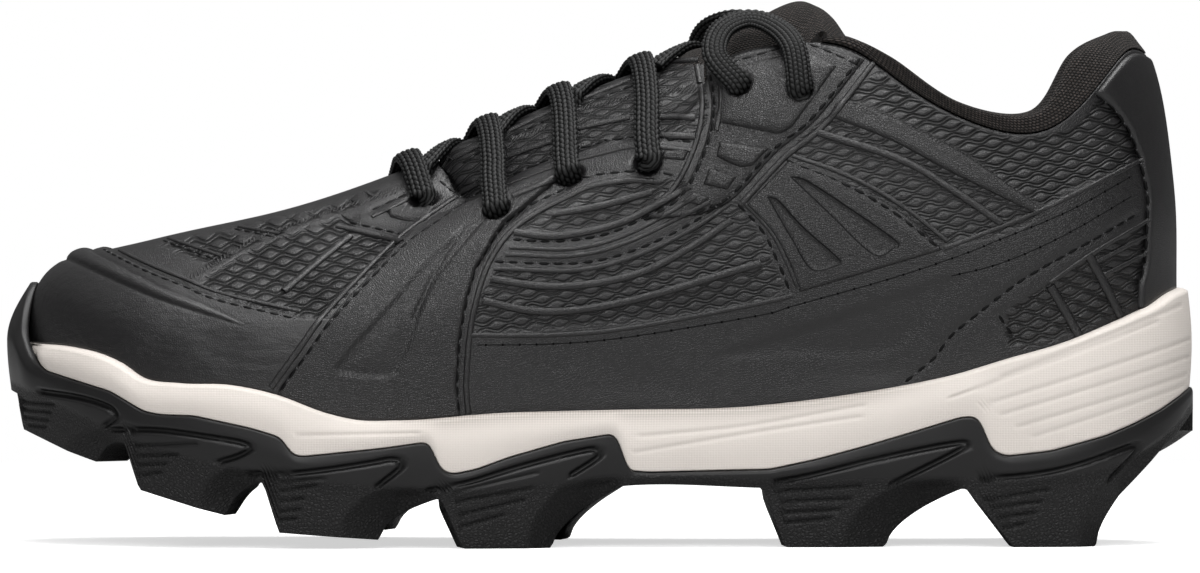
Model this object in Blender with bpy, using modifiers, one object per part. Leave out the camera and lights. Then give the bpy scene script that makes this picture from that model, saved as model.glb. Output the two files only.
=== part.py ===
"""Softball cleat, left shoe, standing empty on its studs.

Metres, +Z up. The toe points to -X, the heel to +X, the outer (lateral) side of the foot to -Y.
Tables are in millimetres and run from the heel's back to the toe's tip.
"""
import math

import bmesh
import bpy
import numpy as np
from mathutils import Matrix, Vector
from mathutils.bvhtree import BVHTree

MM = 0.001

# Driving sizes, in millimetres
GAP = 0.3
UPPER_WALL = 2.0
OVERLAY_GAP = 0.45
OVERLAY_THICK = 0.9
RUBBER_WALL = 2.2
PLATE_THICK = 3.0
RIM_THICK = 3.7
FOAM_INSET = 0.8
INSOLE_THICK = 4.0
LACE_WIDTH = 6.0
LACE_THICK = 2.4
LACE_HOLE_RADIUS = 2.2
LACE_LOOP_RADIUS = 1.7
COLLAR_PAD = 8.0
COLLAR_ROLL = 1.1
COLLAR_RIBS = 10
COLLAR_MID = 0.85
COLLAR_LOW = 0.68
TONGUE_CAMBER = 0.0305
TONGUE_FREE_FROM = 48.0
TONGUE_FREE_HALF = 15.0
TONGUE_THICK = 8.0
BUMPER_OUT = 1.0
STUD_ROOT = 1.3
STUD_RIB = 0.6

# Stations round the shoe: even ones for the upper, and more for the sole at the steps of its side
RIBS_ROUND = 52

# Plan of the sole: x, lateral edge, medial edge
SOLE = (
    (139.5, 0.0, 0.0),
    (133.0, -20.0, 20.0),
    (116.0, -32.3, 32.3),
    (92.0, -36.3, 36.0),
    (66.0, -36.6, 35.0),
    (42.0, -37.2, 33.8),
    (18.0, -39.8, 34.0),
    (-6.0, -43.3, 36.8),
    (-24.0, -46.3, 40.2),
    (-40.0, -48.5, 43.8),
    (-62.0, -50.0, 48.3),
    (-86.0, -48.0, 50.0),
    (-108.0, -40.5, 47.0),
    (-124.0, -28.0, 39.5),
    (-136.0, -9.5, 26.0),
    (-139.5, 9.0, 9.0),
)

# Shoulder of the upper, half way up each rib: x, lateral, medial, z, turn (0 keeps the base's line, 1 the top's)
# and fullness below it
SHOULDER = (
    (133.9, 0.0, 0.0, 85.8, 0.5, 0.4),
    (129.5, -17.0, 17.0, 86.0, 0.5, 0.4),
    (117.0, -29.0, 29.0, 82.0, 0.5, 0.4),
    (98.0, -34.0, 33.5, 72.0, 0.5, 0.4),
    (76.0, -35.0, 33.5, 69.0, 0.5, 0.4),
    (54.0, -34.8, 33.2, 69.0, 0.5, 0.4),
    (34.0, -35.2, 33.0, 73.0, 0.5, 0.4),
    (14.0, -36.2, 34.2, 73.0, 0.5, 0.4),
    (0.0, -37.6, 36.2, 71.5, 0.5, 0.4),
    (-14.0, -39.6, 38.6, 68.5, 0.5, 0.4),
    (-34.0, -41.6, 42.0, 63.0, 0.5, 0.4),
    (-56.0, -41.0, 43.5, 59.5, 0.55, 0.4),
    (-78.0, -35.0, 42.0, 59.5, 0.65, 0.42),
    (-95.0, -24.0, 35.5, 64.5, 0.8, 0.46),
    (-103.5, -9.0, 23.0, 70.2, 0.98, 0.52),
    (-106.0, 6.0, 6.0, 71.5, 1.1, 0.54),
)

# Top line of the upper: x, lateral, medial, z, lean of the wall there in degrees off upright, length of that lean
TOP = (
    (128.4, 0.0, 0.0, 115.0, 16.0, 0.3),
    (125.0, -11.0, 11.0, 116.3, 16.0, 0.3),
    (118.6, -22.5, 22.5, 110.4, 14.0, 0.3),
    (104.8, -31.0, 31.0, 97.8, 10.0, 0.3),
    (86.5, -31.5, 31.5, 99.4, 12.0, 0.3),
    (70.1, -27.5, 27.5, 108.6, 26.0, 0.3),
    (56.0, -22.0, 22.0, 117.2, 36.0, 0.3),
    (38.0, -18.5, 19.5, 117.0, 42.0, 0.3),
    (25.5, -18.5, 20.0, 112.0, 44.0, 0.3),
    (22.5, -23.5, 25.5, 99.5, 40.0, 0.3),
    (1.0, -23.5, 26.5, 95.0, 45.0, 0.3),
    (-18.0, -21.5, 25.5, 88.0, 50.0, 0.3),
    (-31.5, -16.5, 22.0, 81.5, 55.0, 0.34),
    (-36.0, -9.0, 16.0, 86.0, 55.0, 0.44),
    (-39.0, -3.0, 10.0, 89.6, 56.0, 0.54),
    (-40.0, 3.5, 3.5, 90.6, 56.0, 0.58),
)

# Crest of the padded collar: x, half width, z, as far forward as the eyelet panels
CREST = (
    (122.6, 0.0, 120.4),
    (119.0, 10.0, 119.9),
    (110.6, 21.5, 115.0),
    (101.5, 29.0, 101.6),
    (84.0, 29.5, 104.0),
    (68.0, 25.0, 114.4),
    (58.3, 20.0, 119.2),
)

# Foam rim, where the upper goes into the sole: x, z
RIM = (
    (139.5, 60.2), (136.5, 59.2), (131.1, 56.2), (126.6, 54.4), (117.7, 51.0), (108.8, 47.8), (95.2, 44.1),
    (81.8, 40.2), (75.4, 38.8), (58.3, 35.8),
    (46.6, 34.2), (34.9, 33.0), (4.3, 32.3), (-23.8, 31.6), (-47.3, 30.0), (-57.4, 30.2), (-63.7, 31.6),
    (-76.2, 36.0), (-87.2, 38.2), (-100.1, 38.6), (-108.8, 39.8), (-114.2, 43.1), (-119.6, 45.2),
    (-126.6, 46.6), (-139.5, 47.2),
)

# Top edge of the rubber on the side, with its steps: x, z
RUBBER_EDGE = (
    (139.5, 36.8), (136.5, 34.7), (131.5, 31.6), (125.0, 28.5), (118.4, 25.9), (105.3, 22.4), (94.6, 21.2),
    (91.4, 22.6), (90.0, 25.2), (89.4, 28.6), (87.6, 30.4), (84.3, 30.4), (71.9, 26.6), (61.1, 23.4),
    (50.3, 20.5), (39.5, 18.2), (11.0, 17.6), (6.2, 18.0), (5.4, 20.6), (4.9, 24.2), (2.8, 26.6),
    (-8.8, 24.8), (-21.5, 21.2), (-29.2, 18.4), (-34.8, 17.3), (-37.6, 18.6), (-38.7, 21.0), (-39.2, 23.8),
    (-41.0, 24.8), (-51.0, 23.4), (-69.8, 21.5), (-72.4, 22.0), (-73.6, 24.4), (-75.0, 26.0), (-82.0, 28.1),
    (-95.4, 30.9), (-103.4, 31.1), (-107.2, 31.8), (-115.4, 36.4), (-125.0, 39.1), (-130.4, 40.8),
    (-133.2, 44.0), (-135.6, 50.5), (-138.0, 58.5), (-139.5, 61.4),
)
STEP_X = (94.6, 91.4, 90.0, 89.4, 87.6, 11.0, 6.2, 5.4, 4.9, 2.8, -34.8, -37.6, -38.7, -39.2, -41.0,
          -69.8, -72.4, -73.6, -75.0, -130.4, -133.2, -135.6, -138.0)

# Underside of the rubber plate between the studs: x, z
TREAD = (
    (139.5, 31.5), (136.0, 27.0), (128.0, 20.5), (118.0, 16.4), (105.0, 14.4), (85.0, 13.7), (40.0, 13.9),
    (8.0, 14.7), (-10.0, 13.0), (-38.0, 11.6), (-60.0, 13.2), (-80.0, 15.6), (-100.0, 20.4), (-113.0, 24.8),
    (-125.0, 30.0), (-133.0, 33.5), (-139.5, 36.0),
)

# Foam bed under the foot: x, z
BED = (
    (139.5, 44.0), (120.0, 43.5), (90.0, 40.0), (60.0, 34.0), (30.0, 29.0), (0.0, 26.5), (-30.0, 24.0),
    (-55.0, 23.6), (-80.0, 27.5), (-100.0, 31.5), (-120.0, 37.5), (-139.5, 42.5),
)

# Studs of one side: front, ridge and rear along x at the tip, the same at the root, then the tip's height at the
# front and at the rear, and how far the other side's stud sits behind
STUDS = {
    "toe": (-136.4, -126.0, -120.5, -137.8, -119.5, -112.5, 27.0, 19.8, 0.0),
    "joint": (-109.0, -95.0, -89.0, -111.8, -90.0, -80.0, 13.6, 7.6, 3.0),
    "ball": (-75.5, -61.0, -51.2, -79.0, -54.5, -38.5, 3.8, 2.0, 4.0),
    "tread": (-32.0, -17.0, -10.4, -37.2, -11.0, 5.0, 0.0, 0.0, 4.0),
    "arch": (43.1, 56.4, 66.6, 38.0, 66.8, 84.0, 0.0, 0.0, 0.0),
    "heel": (96.6, 112.6, 118.2, 85.4, 120.0, 132.5, 0.0, 0.0, 0.0),
}
STUD_DEPTH_TIP = 9.0
STUD_DEPTH_ROOT = 17.0

# Lace holes: x and z on the lateral side, then how far forward and down the medial one is
EYELETS = (
    (-41.7, 81.1, 7.0, 1.5),
    (-24.3, 78.3, 7.0, 2.5),
    (-7.4, 87.0, 7.0, 2.5),
    (10.9, 90.5, 7.0, 2.5),
    (32.5, 107.1, 3.0, 1.0),
    (46.8, 106.4, 3.0, 1.0),
)

# Ridge of the tongue: x, z, share of full thickness, clearance under the throat's edges
TONGUE = (
    (-38.5, 91.2, 0.4, 0.7),
    (-34.0, 94.0, 0.4, 0.7),
    (-28.5, 96.8, 0.42, 0.7),
    (-19.1, 100.8, 0.45, 0.7),
    (-9.0, 105.0, 0.48, 0.7),
    (2.0, 109.0, 0.52, 0.7),
    (12.0, 112.7, 0.56, 1.2),
    (19.5, 115.2, 0.6, 2.6),
    (28.5, 118.8, 0.7, 2.6),
    (34.0, 122.2, 0.85, 1.2),
    (40.0, 125.7, 0.95, 0.7),
    (45.6, 127.7, 1.0, 0.7),
    (50.5, 126.9, 0.9, 0.0),
    (54.5, 123.8, 0.75, 0.0),
    (57.5, 119.6, 0.6, 0.0),
)

# Lace loop between the top two holes of a side, after the first and before the last: x, distance off the throat's
# middle, z
LACE_LOOP = (
    (26.6, 24.6, 115.0),
    (28.2, 18.0, 121.0),
    (34.4, 14.2, 123.6),
    (40.6, 17.6, 121.8),
    (45.0, 25.8, 117.0),
)
THROAT_MIDDLE = 0.5

# Seams that bound the overlays, as rib number against share of the way up the rib
WING_FRONT = ((0.0, 10.62), (0.5, 11.2), (1.0, 11.75))
WING_REAR = ((0.0, 8.62), (0.5, 10.0), (1.0, 11.3))
COUNTER_EDGE = ((0.0, 1.35), (0.3, 1.05), (0.55, 1.0), (0.8, 1.3), (1.0, 1.9))
TOE_SEAM = ((-122.0, 70.5), (-117.5, 69.4), (-106.7, 64.6), (-98.0, 61.1), (-89.5, 57.9), (-70.8, 53.6))
PANEL_FOOT = ((6.0, 0.62), (7.0, 0.68), (8.0, 0.86))

HALF = len(SOLE) - 1
ROUND = 2 * HALF


def line(table, x):
    """Height read from an (x, z) table with straight runs."""
    rows = np.array(sorted(table))
    return np.interp(x, rows[:, 0], rows[:, 1])


def curve(table, x):
    """Height read from an (x, z) table with smooth runs."""
    rows = np.array(sorted(table))
    knots, heights = rows[:, 0], rows[:, 1]
    slopes = np.gradient(heights, knots)
    x = np.clip(x, knots[0], knots[-1])
    i = np.clip(np.searchsorted(knots, x) - 1, 0, len(knots) - 2)
    run = knots[i + 1] - knots[i]
    t = (x - knots[i]) / run
    start = (1 + 2 * t) * (1 - t) ** 2 * heights[i] + t * (1 - t) ** 2 * run * slopes[i]
    return start + t * t * (3 - 2 * t) * heights[i + 1] + t * t * (t - 1) * run * slopes[i + 1]


def round_rows(table):
    """Rows with a lateral and a medial column, made into one closed list of rows: lateral first, then medial."""
    rows = np.array(table)
    near = np.delete(rows, 2, axis=1)
    far = np.delete(rows, 1, axis=1)
    return np.vstack((near, far[-2:0:-1]))


def closed_spline(rows, where):
    """Smooth closed curve through the rows, read at fractional row numbers."""
    count = len(rows)
    ahead, behind = np.roll(rows, -1, axis=0), np.roll(rows, 1, axis=0)
    unit = np.eye(count)
    band = 4 * unit + np.roll(unit, 1, axis=1) + np.roll(unit, -1, axis=1)
    bend = np.linalg.solve(band, 6 * (behind - 2 * rows + ahead))
    first = np.floor(where).astype(int)
    b = (where - first)[:, None]
    a = 1 - b
    i, j = first % count, (first + 1) % count
    return a * rows[i] + b * rows[j] + ((a ** 3 - a) * bend[i] + (b ** 3 - b) * bend[j]) / 6


SOLE_RING = round_rows(SOLE)
SHOULDER_RING = round_rows(SHOULDER)
TOP_RING = round_rows(TOP)


def outline(where):
    """Plan of the sole and its outward normals at fractional rib numbers."""
    where = np.asarray(where, float)
    step = 0.01
    along = closed_spline(SOLE_RING, where + step) - closed_spline(SOLE_RING, where - step)
    along /= np.linalg.norm(along, axis=1)[:, None]
    return closed_spline(SOLE_RING, where), np.stack((-along[:, 1], along[:, 0]), axis=1)


def unit(vectors):
    return vectors / np.linalg.norm(vectors, axis=-1, keepdims=True)


def bezier(points, t):
    a, b, c, d = points
    return a * (1 - t) ** 3 + 3 * b * t * (1 - t) ** 2 + 3 * c * t * t * (1 - t) + d * t ** 3


def upper_point(where, share):
    """Outer face of the upper: rib number round the shoe, share of the way from rim (0) to top line (1)."""
    where, share = np.broadcast_arrays(np.asarray(where, float), np.asarray(share, float))
    shape = where.shape
    where, share = where.ravel(), share.ravel()[:, None]
    plan, out = outline(where)
    out = np.column_stack((out, np.zeros(len(out))))
    base = np.column_stack((plan - out[:, :2] * (FOAM_INSET + RIM_THICK + GAP), curve(RIM, plan[:, 0])))
    shoulder = closed_spline(SHOULDER_RING, where)
    top = closed_spline(TOP_RING, where)
    turn, full = shoulder[:, 3:4], shoulder[:, 4:5]
    lean, pull = np.radians(top[:, 3:4]), top[:, 4:5]
    shoulder, top = shoulder[:, :3], top[:, :3]
    low, high = shoulder - base, top - shoulder
    low_long = np.linalg.norm(low, axis=1, keepdims=True)
    high_long = np.linalg.norm(high, axis=1, keepdims=True)
    up = np.array((0.0, 0.0, 1.0))
    forward = np.array((1.0, 0.0, 0.0))
    at_base = unit(up + forward * 0.6 * np.clip(1 - turn, 0, 1) * low[:, :1] / low_long)
    at_shoulder = unit(turn * high / high_long + (1 - turn) * low / low_long)
    at_top = unit(up * np.cos(lean) - out * np.sin(lean) + forward * 0.6 * high[:, :1] / high_long)
    lower = bezier((base, base + at_base * full * low_long, shoulder - at_shoulder * full * low_long, shoulder),
                   np.clip(share * 2, 0, 1))
    higher = bezier((shoulder, shoulder + at_shoulder * 0.36 * high_long, top - at_top * pull * high_long, top),
                    np.clip(share * 2 - 1, 0, 1))
    return np.where(share < 0.5, lower, higher).reshape(shape + (3,))


def upper_normal(where, share):
    """Outward unit normal of the upper's outer face."""
    where, share = np.broadcast_arrays(np.asarray(where, float), np.asarray(share, float))
    around = upper_point(where + 0.03, share) - upper_point(where - 0.03, share)
    low, high = np.clip(share - 0.015, 0, 1), np.clip(share + 0.015, 0, 1)
    upward = upper_point(where, high) - upper_point(where, low)
    return unit(np.cross(upward, around))


def find_on_upper(lateral, x, z):
    """Rib number and share of the point of one side that stands at x, z in the side view."""
    ribs = np.linspace(3, 14.8, 237)
    shares = np.linspace(0.3, 1.0, 141)
    if not lateral:
        ribs = ROUND - ribs
    where, share = np.meshgrid(ribs, shares, indexing="ij")
    points = upper_point(where, share)
    off = (points[..., 0] - x) ** 2 + (points[..., 2] - z) ** 2
    i, j = np.unravel_index(np.argmin(off), off.shape)
    return ribs[i], shares[j]


# Scene set-up
for old in list(bpy.data.objects):
    bpy.data.objects.remove(old, do_unlink=True)
PARTS = bpy.data.collections.new("softball_cleat")
CUTTERS = bpy.data.collections.new("cutters")
bpy.context.scene.collection.children.link(PARTS)
bpy.context.scene.collection.children.link(CUTTERS)


def material(name, colour, roughness):
    made = bpy.data.materials.new(name)
    made.use_nodes = True
    shader = made.node_tree.nodes["Principled BSDF"]
    shader.inputs["Base Color"].default_value = (*colour, 1.0)
    shader.inputs["Roughness"].default_value = roughness
    shader.inputs["Metallic"].default_value = 0.0
    return made


RUBBER = material("outsole_rubber", (0.022, 0.022, 0.023), 0.55)
FOAM = material("midsole_foam", (0.78, 0.73, 0.69), 0.7)
SHELL = material("upper_synthetic", (0.028, 0.027, 0.029), 0.5)
OVERLAY = material("overlay_synthetic", (0.032, 0.031, 0.033), 0.45)
KNIT = material("collar_knit", (0.042, 0.035, 0.032), 0.9)
TONGUE_SKIN = material("tongue_synthetic", (0.03, 0.029, 0.03), 0.6)
SOCK = material("insole_fabric", (0.02, 0.02, 0.02), 0.9)
LACE = material("lace_braid", (0.018, 0.019, 0.019), 0.8)


def add_mesh(name, points, faces, made_of, smooth=True, home=PARTS):
    """Mesh object from points in millimetres, with its faces turned outward."""
    mesh = bpy.data.meshes.new(name)
    mesh.from_pydata([tuple(p) for p in np.asarray(points) * MM], [], faces)
    work = bmesh.new()
    work.from_mesh(mesh)
    bmesh.ops.remove_doubles(work, verts=work.verts, dist=0.00001)
    bmesh.ops.recalc_face_normals(work, faces=work.faces)
    work.to_mesh(mesh)
    work.free()
    mesh.materials.append(made_of)
    if smooth:
        mesh.shade_smooth()
    made = bpy.data.objects.new(name, mesh)
    home.objects.link(made)
    return made


def strip_faces(loops, around, closed=True):
    """Quads between stacked loops of equal length."""
    faces = []
    last = around if closed else around - 1
    for row in range(loops - 1):
        for i in range(last):
            j = (i + 1) % around
            faces.append((row * around + i, (row + 1) * around + i, (row + 1) * around + j, row * around + j))
    return faces


def ladder_faces(first, around):
    """Cap of a loop that starts at the heel: rungs run from the lateral side to the medial side."""
    faces = [(first, first + 1, first + around - 1)]
    for i in range(1, around // 2 - 1):
        faces.append((first + i, first + i + 1, first + around - i - 1, first + around - i))
    faces.append((first + around // 2 - 1, first + around // 2, first + around // 2 + 1))
    return faces


def solid_of_loops(name, loops, made_of):
    """Closed solid from stacked loops round the shoe, capped on its first and last loop."""
    around = len(loops[0])
    faces = strip_faces(len(loops), around)
    faces += ladder_faces(0, around)
    faces += ladder_faces((len(loops) - 1) * around, around)
    return add_mesh(name, np.vstack(loops), faces, made_of)


def sheet_of_grid(name, grid, made_of, thick, outward, closed=False):
    """Open surface from a grid of points, given its wall by Solidify."""
    rows, around = grid.shape[:2]
    points = grid.reshape(-1, 3) * MM
    mesh = bpy.data.meshes.new(name)
    mesh.from_pydata([tuple(p) for p in points], [], strip_faces(rows, around, closed))
    mesh.materials.append(made_of)
    mesh.shade_smooth()
    made = bpy.data.objects.new(name, mesh)
    PARTS.objects.link(made)
    wall = made.modifiers.new("wall", 'SOLIDIFY')
    wall.thickness = thick * MM
    wall.offset = 1.0 if outward else -1.0
    wall.use_even_offset = False
    return made


# Stations of the sole: the upper's own ribs and the steps of the side, the same x on both sides
DENSE = np.linspace(0, HALF, 3001)
DENSE_X = outline(DENSE)[0][:, 0]
RIB_STATIONS = np.arange(RIBS_ROUND) * ROUND / RIBS_ROUND
HALF_RIBS = RIB_STATIONS[:RIBS_ROUND // 2 + 1]
STEPS = np.interp(np.array(STEP_X), DENSE_X[::-1], DENSE[::-1])
FREE_RIBS = [k for k in HALF_RIBS if np.abs(STEPS - k).min() > 0.04]
HALF_SOLE = np.array(sorted([*FREE_RIBS, *STEPS]))
SOLE_STATIONS = np.concatenate((HALF_SOLE, (ROUND - HALF_SOLE)[-2:0:-1]))
PLAN, OUT = outline(SOLE_STATIONS)
SOLE_X = PLAN[:, 0]
EDGE_Z = line(RUBBER_EDGE, SOLE_X)
RIM_Z = curve(RIM, SOLE_X)
TREAD_Z = curve(TREAD, SOLE_X)
FLOOR_Z = TREAD_Z + PLATE_THICK
BED_Z = curve(BED, SOLE_X)


def sole_loop(offset, height):
    """Loop of the sole's outline, moved out by an offset, at a height for each station."""
    moved = PLAN + OUT * np.broadcast_to(offset, SOLE_X.shape)[:, None]
    return np.column_stack((moved, np.broadcast_to(height, SOLE_X.shape)))


def skin_offset(heights):
    """How far the upper's face stands from the sole's outline at a height for each station."""
    shares = np.linspace(0, 0.5, 101)
    found = []
    for k, height, plan, out in zip(SOLE_STATIONS, heights, PLAN, OUT):
        rib = upper_point(np.full(101, k), shares)
        skin = rib[np.argmin(np.abs(rib[:, 2] - height))]
        found.append((skin[:2] - plan) @ out)
    return np.array(found)


# Share of the way to a full bumper: 0 where foam shows above the rubber, 1 where the rubber laps the toe
LAPPED = np.clip((EDGE_Z - RIM_Z + 5.0) / 2.5, 0, 1)
OVER_RIM = EDGE_Z > RIM_Z + 0.5
LEAN = np.clip((EDGE_Z - RIM_Z - 2.0) / 6.0, 0, 1)
SKIN_CLEAR = OVERLAY_GAP + OVERLAY_THICK + 2 * GAP
BEND_Z = np.where(OVER_RIM, RIM_Z + 0.5, (FLOOR_Z + EDGE_Z) / 2)
HIGH_Z = (BEND_Z + EDGE_Z) / 2


def bumper_inside(heights):
    """Inside of the rubber's wall: upright, and over the rim it leans to the toe cap."""
    return -RUBBER_WALL + (skin_offset(heights) + SKIN_CLEAR + RUBBER_WALL) * LEAN


INNER_TOP = bumper_inside(EDGE_Z)
outsole = solid_of_loops("outsole", (
    sole_loop(-RUBBER_WALL, FLOOR_Z),
    sole_loop(-RUBBER_WALL, BEND_Z),
    sole_loop(np.maximum(bumper_inside(HIGH_Z), INNER_TOP), HIGH_Z),
    sole_loop(INNER_TOP, EDGE_Z),
    sole_loop(INNER_TOP + RUBBER_WALL - 0.3, EDGE_Z - 0.2),
    sole_loop(BUMPER_OUT * LAPPED, np.minimum(BEND_Z, EDGE_Z - 1.0)),
    sole_loop(-1.2, TREAD_Z),
), RUBBER)


def side_row(lateral, x):
    """Rib number of the point of one side's outline at x."""
    k = np.interp(x, DENSE_X[::-1], DENSE[::-1])
    return k if lateral else ROUND - k


def stud(name, lateral, row):
    """One stud: five levels of an eight-sided section, ribbed on its outer face, hollowed behind."""
    tip_front, tip_ridge, tip_rear, root_front, root_ridge, root_rear, front_z, rear_z, behind = row
    shift = 0.0 if lateral else behind
    levels = (0.0, 0.25, 0.5, 0.75, 1.0)
    points = []
    for step, t in enumerate(levels):
        front = tip_front + (root_front - tip_front) * t + shift
        ridge = tip_ridge + (root_ridge - tip_ridge) * t + shift
        rear = tip_rear + (root_rear - tip_rear) * t ** 1.8 + shift
        depth = STUD_DEPTH_TIP + (STUD_DEPTH_ROOT - STUD_DEPTH_TIP) * t
        inset = 3.6 - 2.2 * t + (STUD_RIB if step % 2 else 0.0)
        middle = (front + ridge) / 2
        spots = ((front, inset), (middle, inset), (ridge, inset), (rear, inset + 0.45 * depth),
                 (rear, inset + depth), (ridge, inset + depth), (middle, inset + depth), (front + 2.0, inset + depth))
        for x, inward in spots:
            plan, out = outline([side_row(lateral, x)])
            spot = plan[0] - out[0] * inward
            along = np.clip((x - front) / (rear - front), 0, 1)
            tip = front_z + (rear_z - front_z) * along
            root = curve(TREAD, spot[:1])[0] + STUD_ROOT
            points.append((*spot, tip + (root - tip) * t))
    faces = strip_faces(len(levels), 8)
    for first in (0, 8 * len(levels) - 8):
        faces += [(first + i, first + i + 1, first + 6 - i, first + 7 - i) for i in range(3)]
    return add_mesh(name, points, faces, RUBBER, smooth=False, home=CUTTERS)


def show_as_cutter(made):
    made.hide_render = True
    made.display_type = 'WIRE'


for stud_name, stud_row in STUDS.items():
    for side_name, is_lateral in (("lateral", True), ("medial", False)):
        added = stud(f"stud_{stud_name}_{side_name}", is_lateral, stud_row)
        show_as_cutter(added)
        join = outsole.modifiers.new(added.name, 'BOOLEAN')
        join.operation = 'UNION'
        join.solver = 'EXACT'
        join.object = added

# Midsole: it steps in behind the rubber, stands flush above it and is ribbed at the heel
LEDGE_Z = np.minimum(EDGE_Z + GAP, RIM_Z - 2.0)
FOAM_OUT = -FOAM_INSET - (RUBBER_WALL + 2 * GAP - FOAM_INSET) * LAPPED
WALL_TOP = RIM_Z - 0.8
HEEL_SHARE = np.clip((SOLE_X - 75.0) / 25.0, 0, 1)
BULGE = 0.7 * (1 - LAPPED)


def foam_wall(share, groove):
    height = LEDGE_Z + (WALL_TOP - LEDGE_Z) * share
    return sole_loop(FOAM_OUT + BULGE * math.sin(math.pi * share) - groove * HEEL_SHARE, height)


solid_of_loops("midsole", (
    sole_loop(-RUBBER_WALL - GAP, FLOOR_Z + GAP),
    sole_loop(-RUBBER_WALL - GAP, LEDGE_Z),
    sole_loop(FOAM_OUT, LEDGE_Z),
    foam_wall(0.2, 0.0),
    foam_wall(0.4, 0.7),
    foam_wall(0.6, 0.0),
    foam_wall(0.8, 0.7),
    sole_loop(FOAM_OUT - 0.4, WALL_TOP),
    sole_loop(-FOAM_INSET - 2.6, RIM_Z),
    sole_loop(-FOAM_INSET - RIM_THICK, RIM_Z),
    sole_loop(-FOAM_INSET - RIM_THICK, BED_Z),
), FOAM)

# Upper: one hollow shell, open underneath, at the throat and at the collar
SHARES = (0.0, 0.12, 0.25, 0.38, 0.5, 0.62, 0.74, 0.87, 1.0)
rib_grid = upper_point(RIB_STATIONS[None, :], np.array(SHARES)[:, None])
foot_line = rib_grid[0].copy()
foot_line[:, 2] = curve(BED, outline(RIB_STATIONS)[0][:, 0]) + GAP
upper = sheet_of_grid("upper", np.concatenate((foot_line[None], rib_grid)), SHELL, UPPER_WALL, False, closed=True)

# Insole
INSOLE_EDGE = FOAM_INSET + RIM_THICK + GAP + UPPER_WALL + 0.6
solid_of_loops("insole", (
    sole_loop(-INSOLE_EDGE, BED_Z + GAP),
    sole_loop(-INSOLE_EDGE, BED_Z + GAP + 0.7 * INSOLE_THICK),
    sole_loop(-INSOLE_EDGE - 2.0, BED_Z + GAP + INSOLE_THICK),
), SOCK)


def between(table, t):
    rows = np.array(table)
    return np.interp(t, rows[:, 0], rows[:, 1])


def overlay(name, where, share):
    """Skin over the upper: a grid of ribs and shares, clear of the shell by the gap."""
    grid = upper_point(where, share) + upper_normal(where, share) * OVERLAY_GAP
    return sheet_of_grid(name, grid, OVERLAY, OVERLAY_THICK, True)


# Toe cap: from the foam rim up to its seam, round the toe from wing to wing
cap_rise = np.linspace(0, 1, 5)
cap_round = np.linspace(0, 1, 19)
cap_start = between(WING_FRONT, 0.03 + 0.22 * cap_rise) + 0.16
cap_ribs = cap_start[:, None] + (ROUND - 2 * cap_start)[:, None] * cap_round[None, :]
cap_top = []
for k in cap_ribs[-1]:
    rib_shares = np.linspace(0.05, 0.6, 221)
    rib = upper_point(np.full(221, k), rib_shares)
    cap_top.append(rib_shares[np.argmax(rib[:, 2] > line(TOE_SEAM, rib[:, 0]))])
overlay("toe_cap", cap_ribs, 0.03 + (np.array(cap_top)[None, :] - 0.03) * cap_rise[:, None])

# Heel counter: up the back, between two curved edges
counter_share = np.linspace(0.03, 0.97, 8)
counter_half = between(COUNTER_EDGE, counter_share)
counter_ribs = counter_half[:, None] * np.linspace(1, -1, 11)[None, :]
overlay("heel_counter", -counter_ribs, np.broadcast_to(counter_share[:, None], counter_ribs.shape))

# Wings and eyelet panels, one each side
panels = {}
for side_name, is_lateral in (("lateral", True), ("medial", False)):
    wing_share = np.linspace(0.03, 0.9, 8)
    across = np.linspace(0, 1, 6)
    front, rear = between(WING_FRONT, wing_share), between(WING_REAR, wing_share)
    wing_ribs = rear[:, None] + (front - rear)[:, None] * across[None, :]
    wing_shares = np.broadcast_to(wing_share[:, None], wing_ribs.shape)
    panel_ribs = np.linspace(6.0, 8.0, 7)
    panel_foot = between(PANEL_FOOT, panel_ribs)
    panel_shares = 1 - (1 - panel_foot)[None, :] * np.linspace(1, 0, 5)[:, None]
    panel_where = np.broadcast_to(panel_ribs, panel_shares.shape)
    if not is_lateral:
        wing_ribs = ROUND - wing_ribs[:, ::-1]
        panel_where = ROUND - panel_where[:, ::-1]
        panel_shares = panel_shares[:, ::-1]
    panels["wing", is_lateral] = overlay(f"wing_{side_name}", wing_ribs, wing_shares)
    panels["eyelets", is_lateral] = overlay(f"eyelet_panel_{side_name}", panel_where, panel_shares)


def eyelet(number, lateral):
    """Middle and outward direction of a lace hole on the upper's outer face."""
    x, z, forward, down = EYELETS[number]
    if not lateral:
        x, z = x - forward, z - down
    k, share = find_on_upper(lateral, x, z)
    return upper_point([k], [share])[0], upper_normal([k], [share])[0]


def cut_hole(made, cutter):
    cut = made.modifiers.new(cutter.name, 'BOOLEAN')
    cut.operation = 'DIFFERENCE'
    cut.solver = 'EXACT'
    cut.object = cutter


for number in range(len(EYELETS)):
    for side_name, is_lateral in (("lateral", True), ("medial", False)):
        middle, normal = eyelet(number, is_lateral)
        bpy.ops.mesh.primitive_cylinder_add(vertices=10, radius=LACE_HOLE_RADIUS * MM, depth=12 * MM)
        punch = bpy.context.object
        punch.name = f"lace_hole_{number + 1}_{side_name}"
        punch.matrix_world = (Matrix.Translation(Vector(middle * MM))
                              @ Vector(normal).to_track_quat('Z', 'Y').to_matrix().to_4x4())
        for home in list(punch.users_collection):
            home.objects.unlink(punch)
        CUTTERS.objects.link(punch)
        show_as_cutter(punch)
        cut_hole(upper, punch)
        if number == 1:
            cut_hole(panels["wing", is_lateral], punch)
        if number > 3:
            cut_hole(panels["eyelets", is_lateral], punch)

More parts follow.
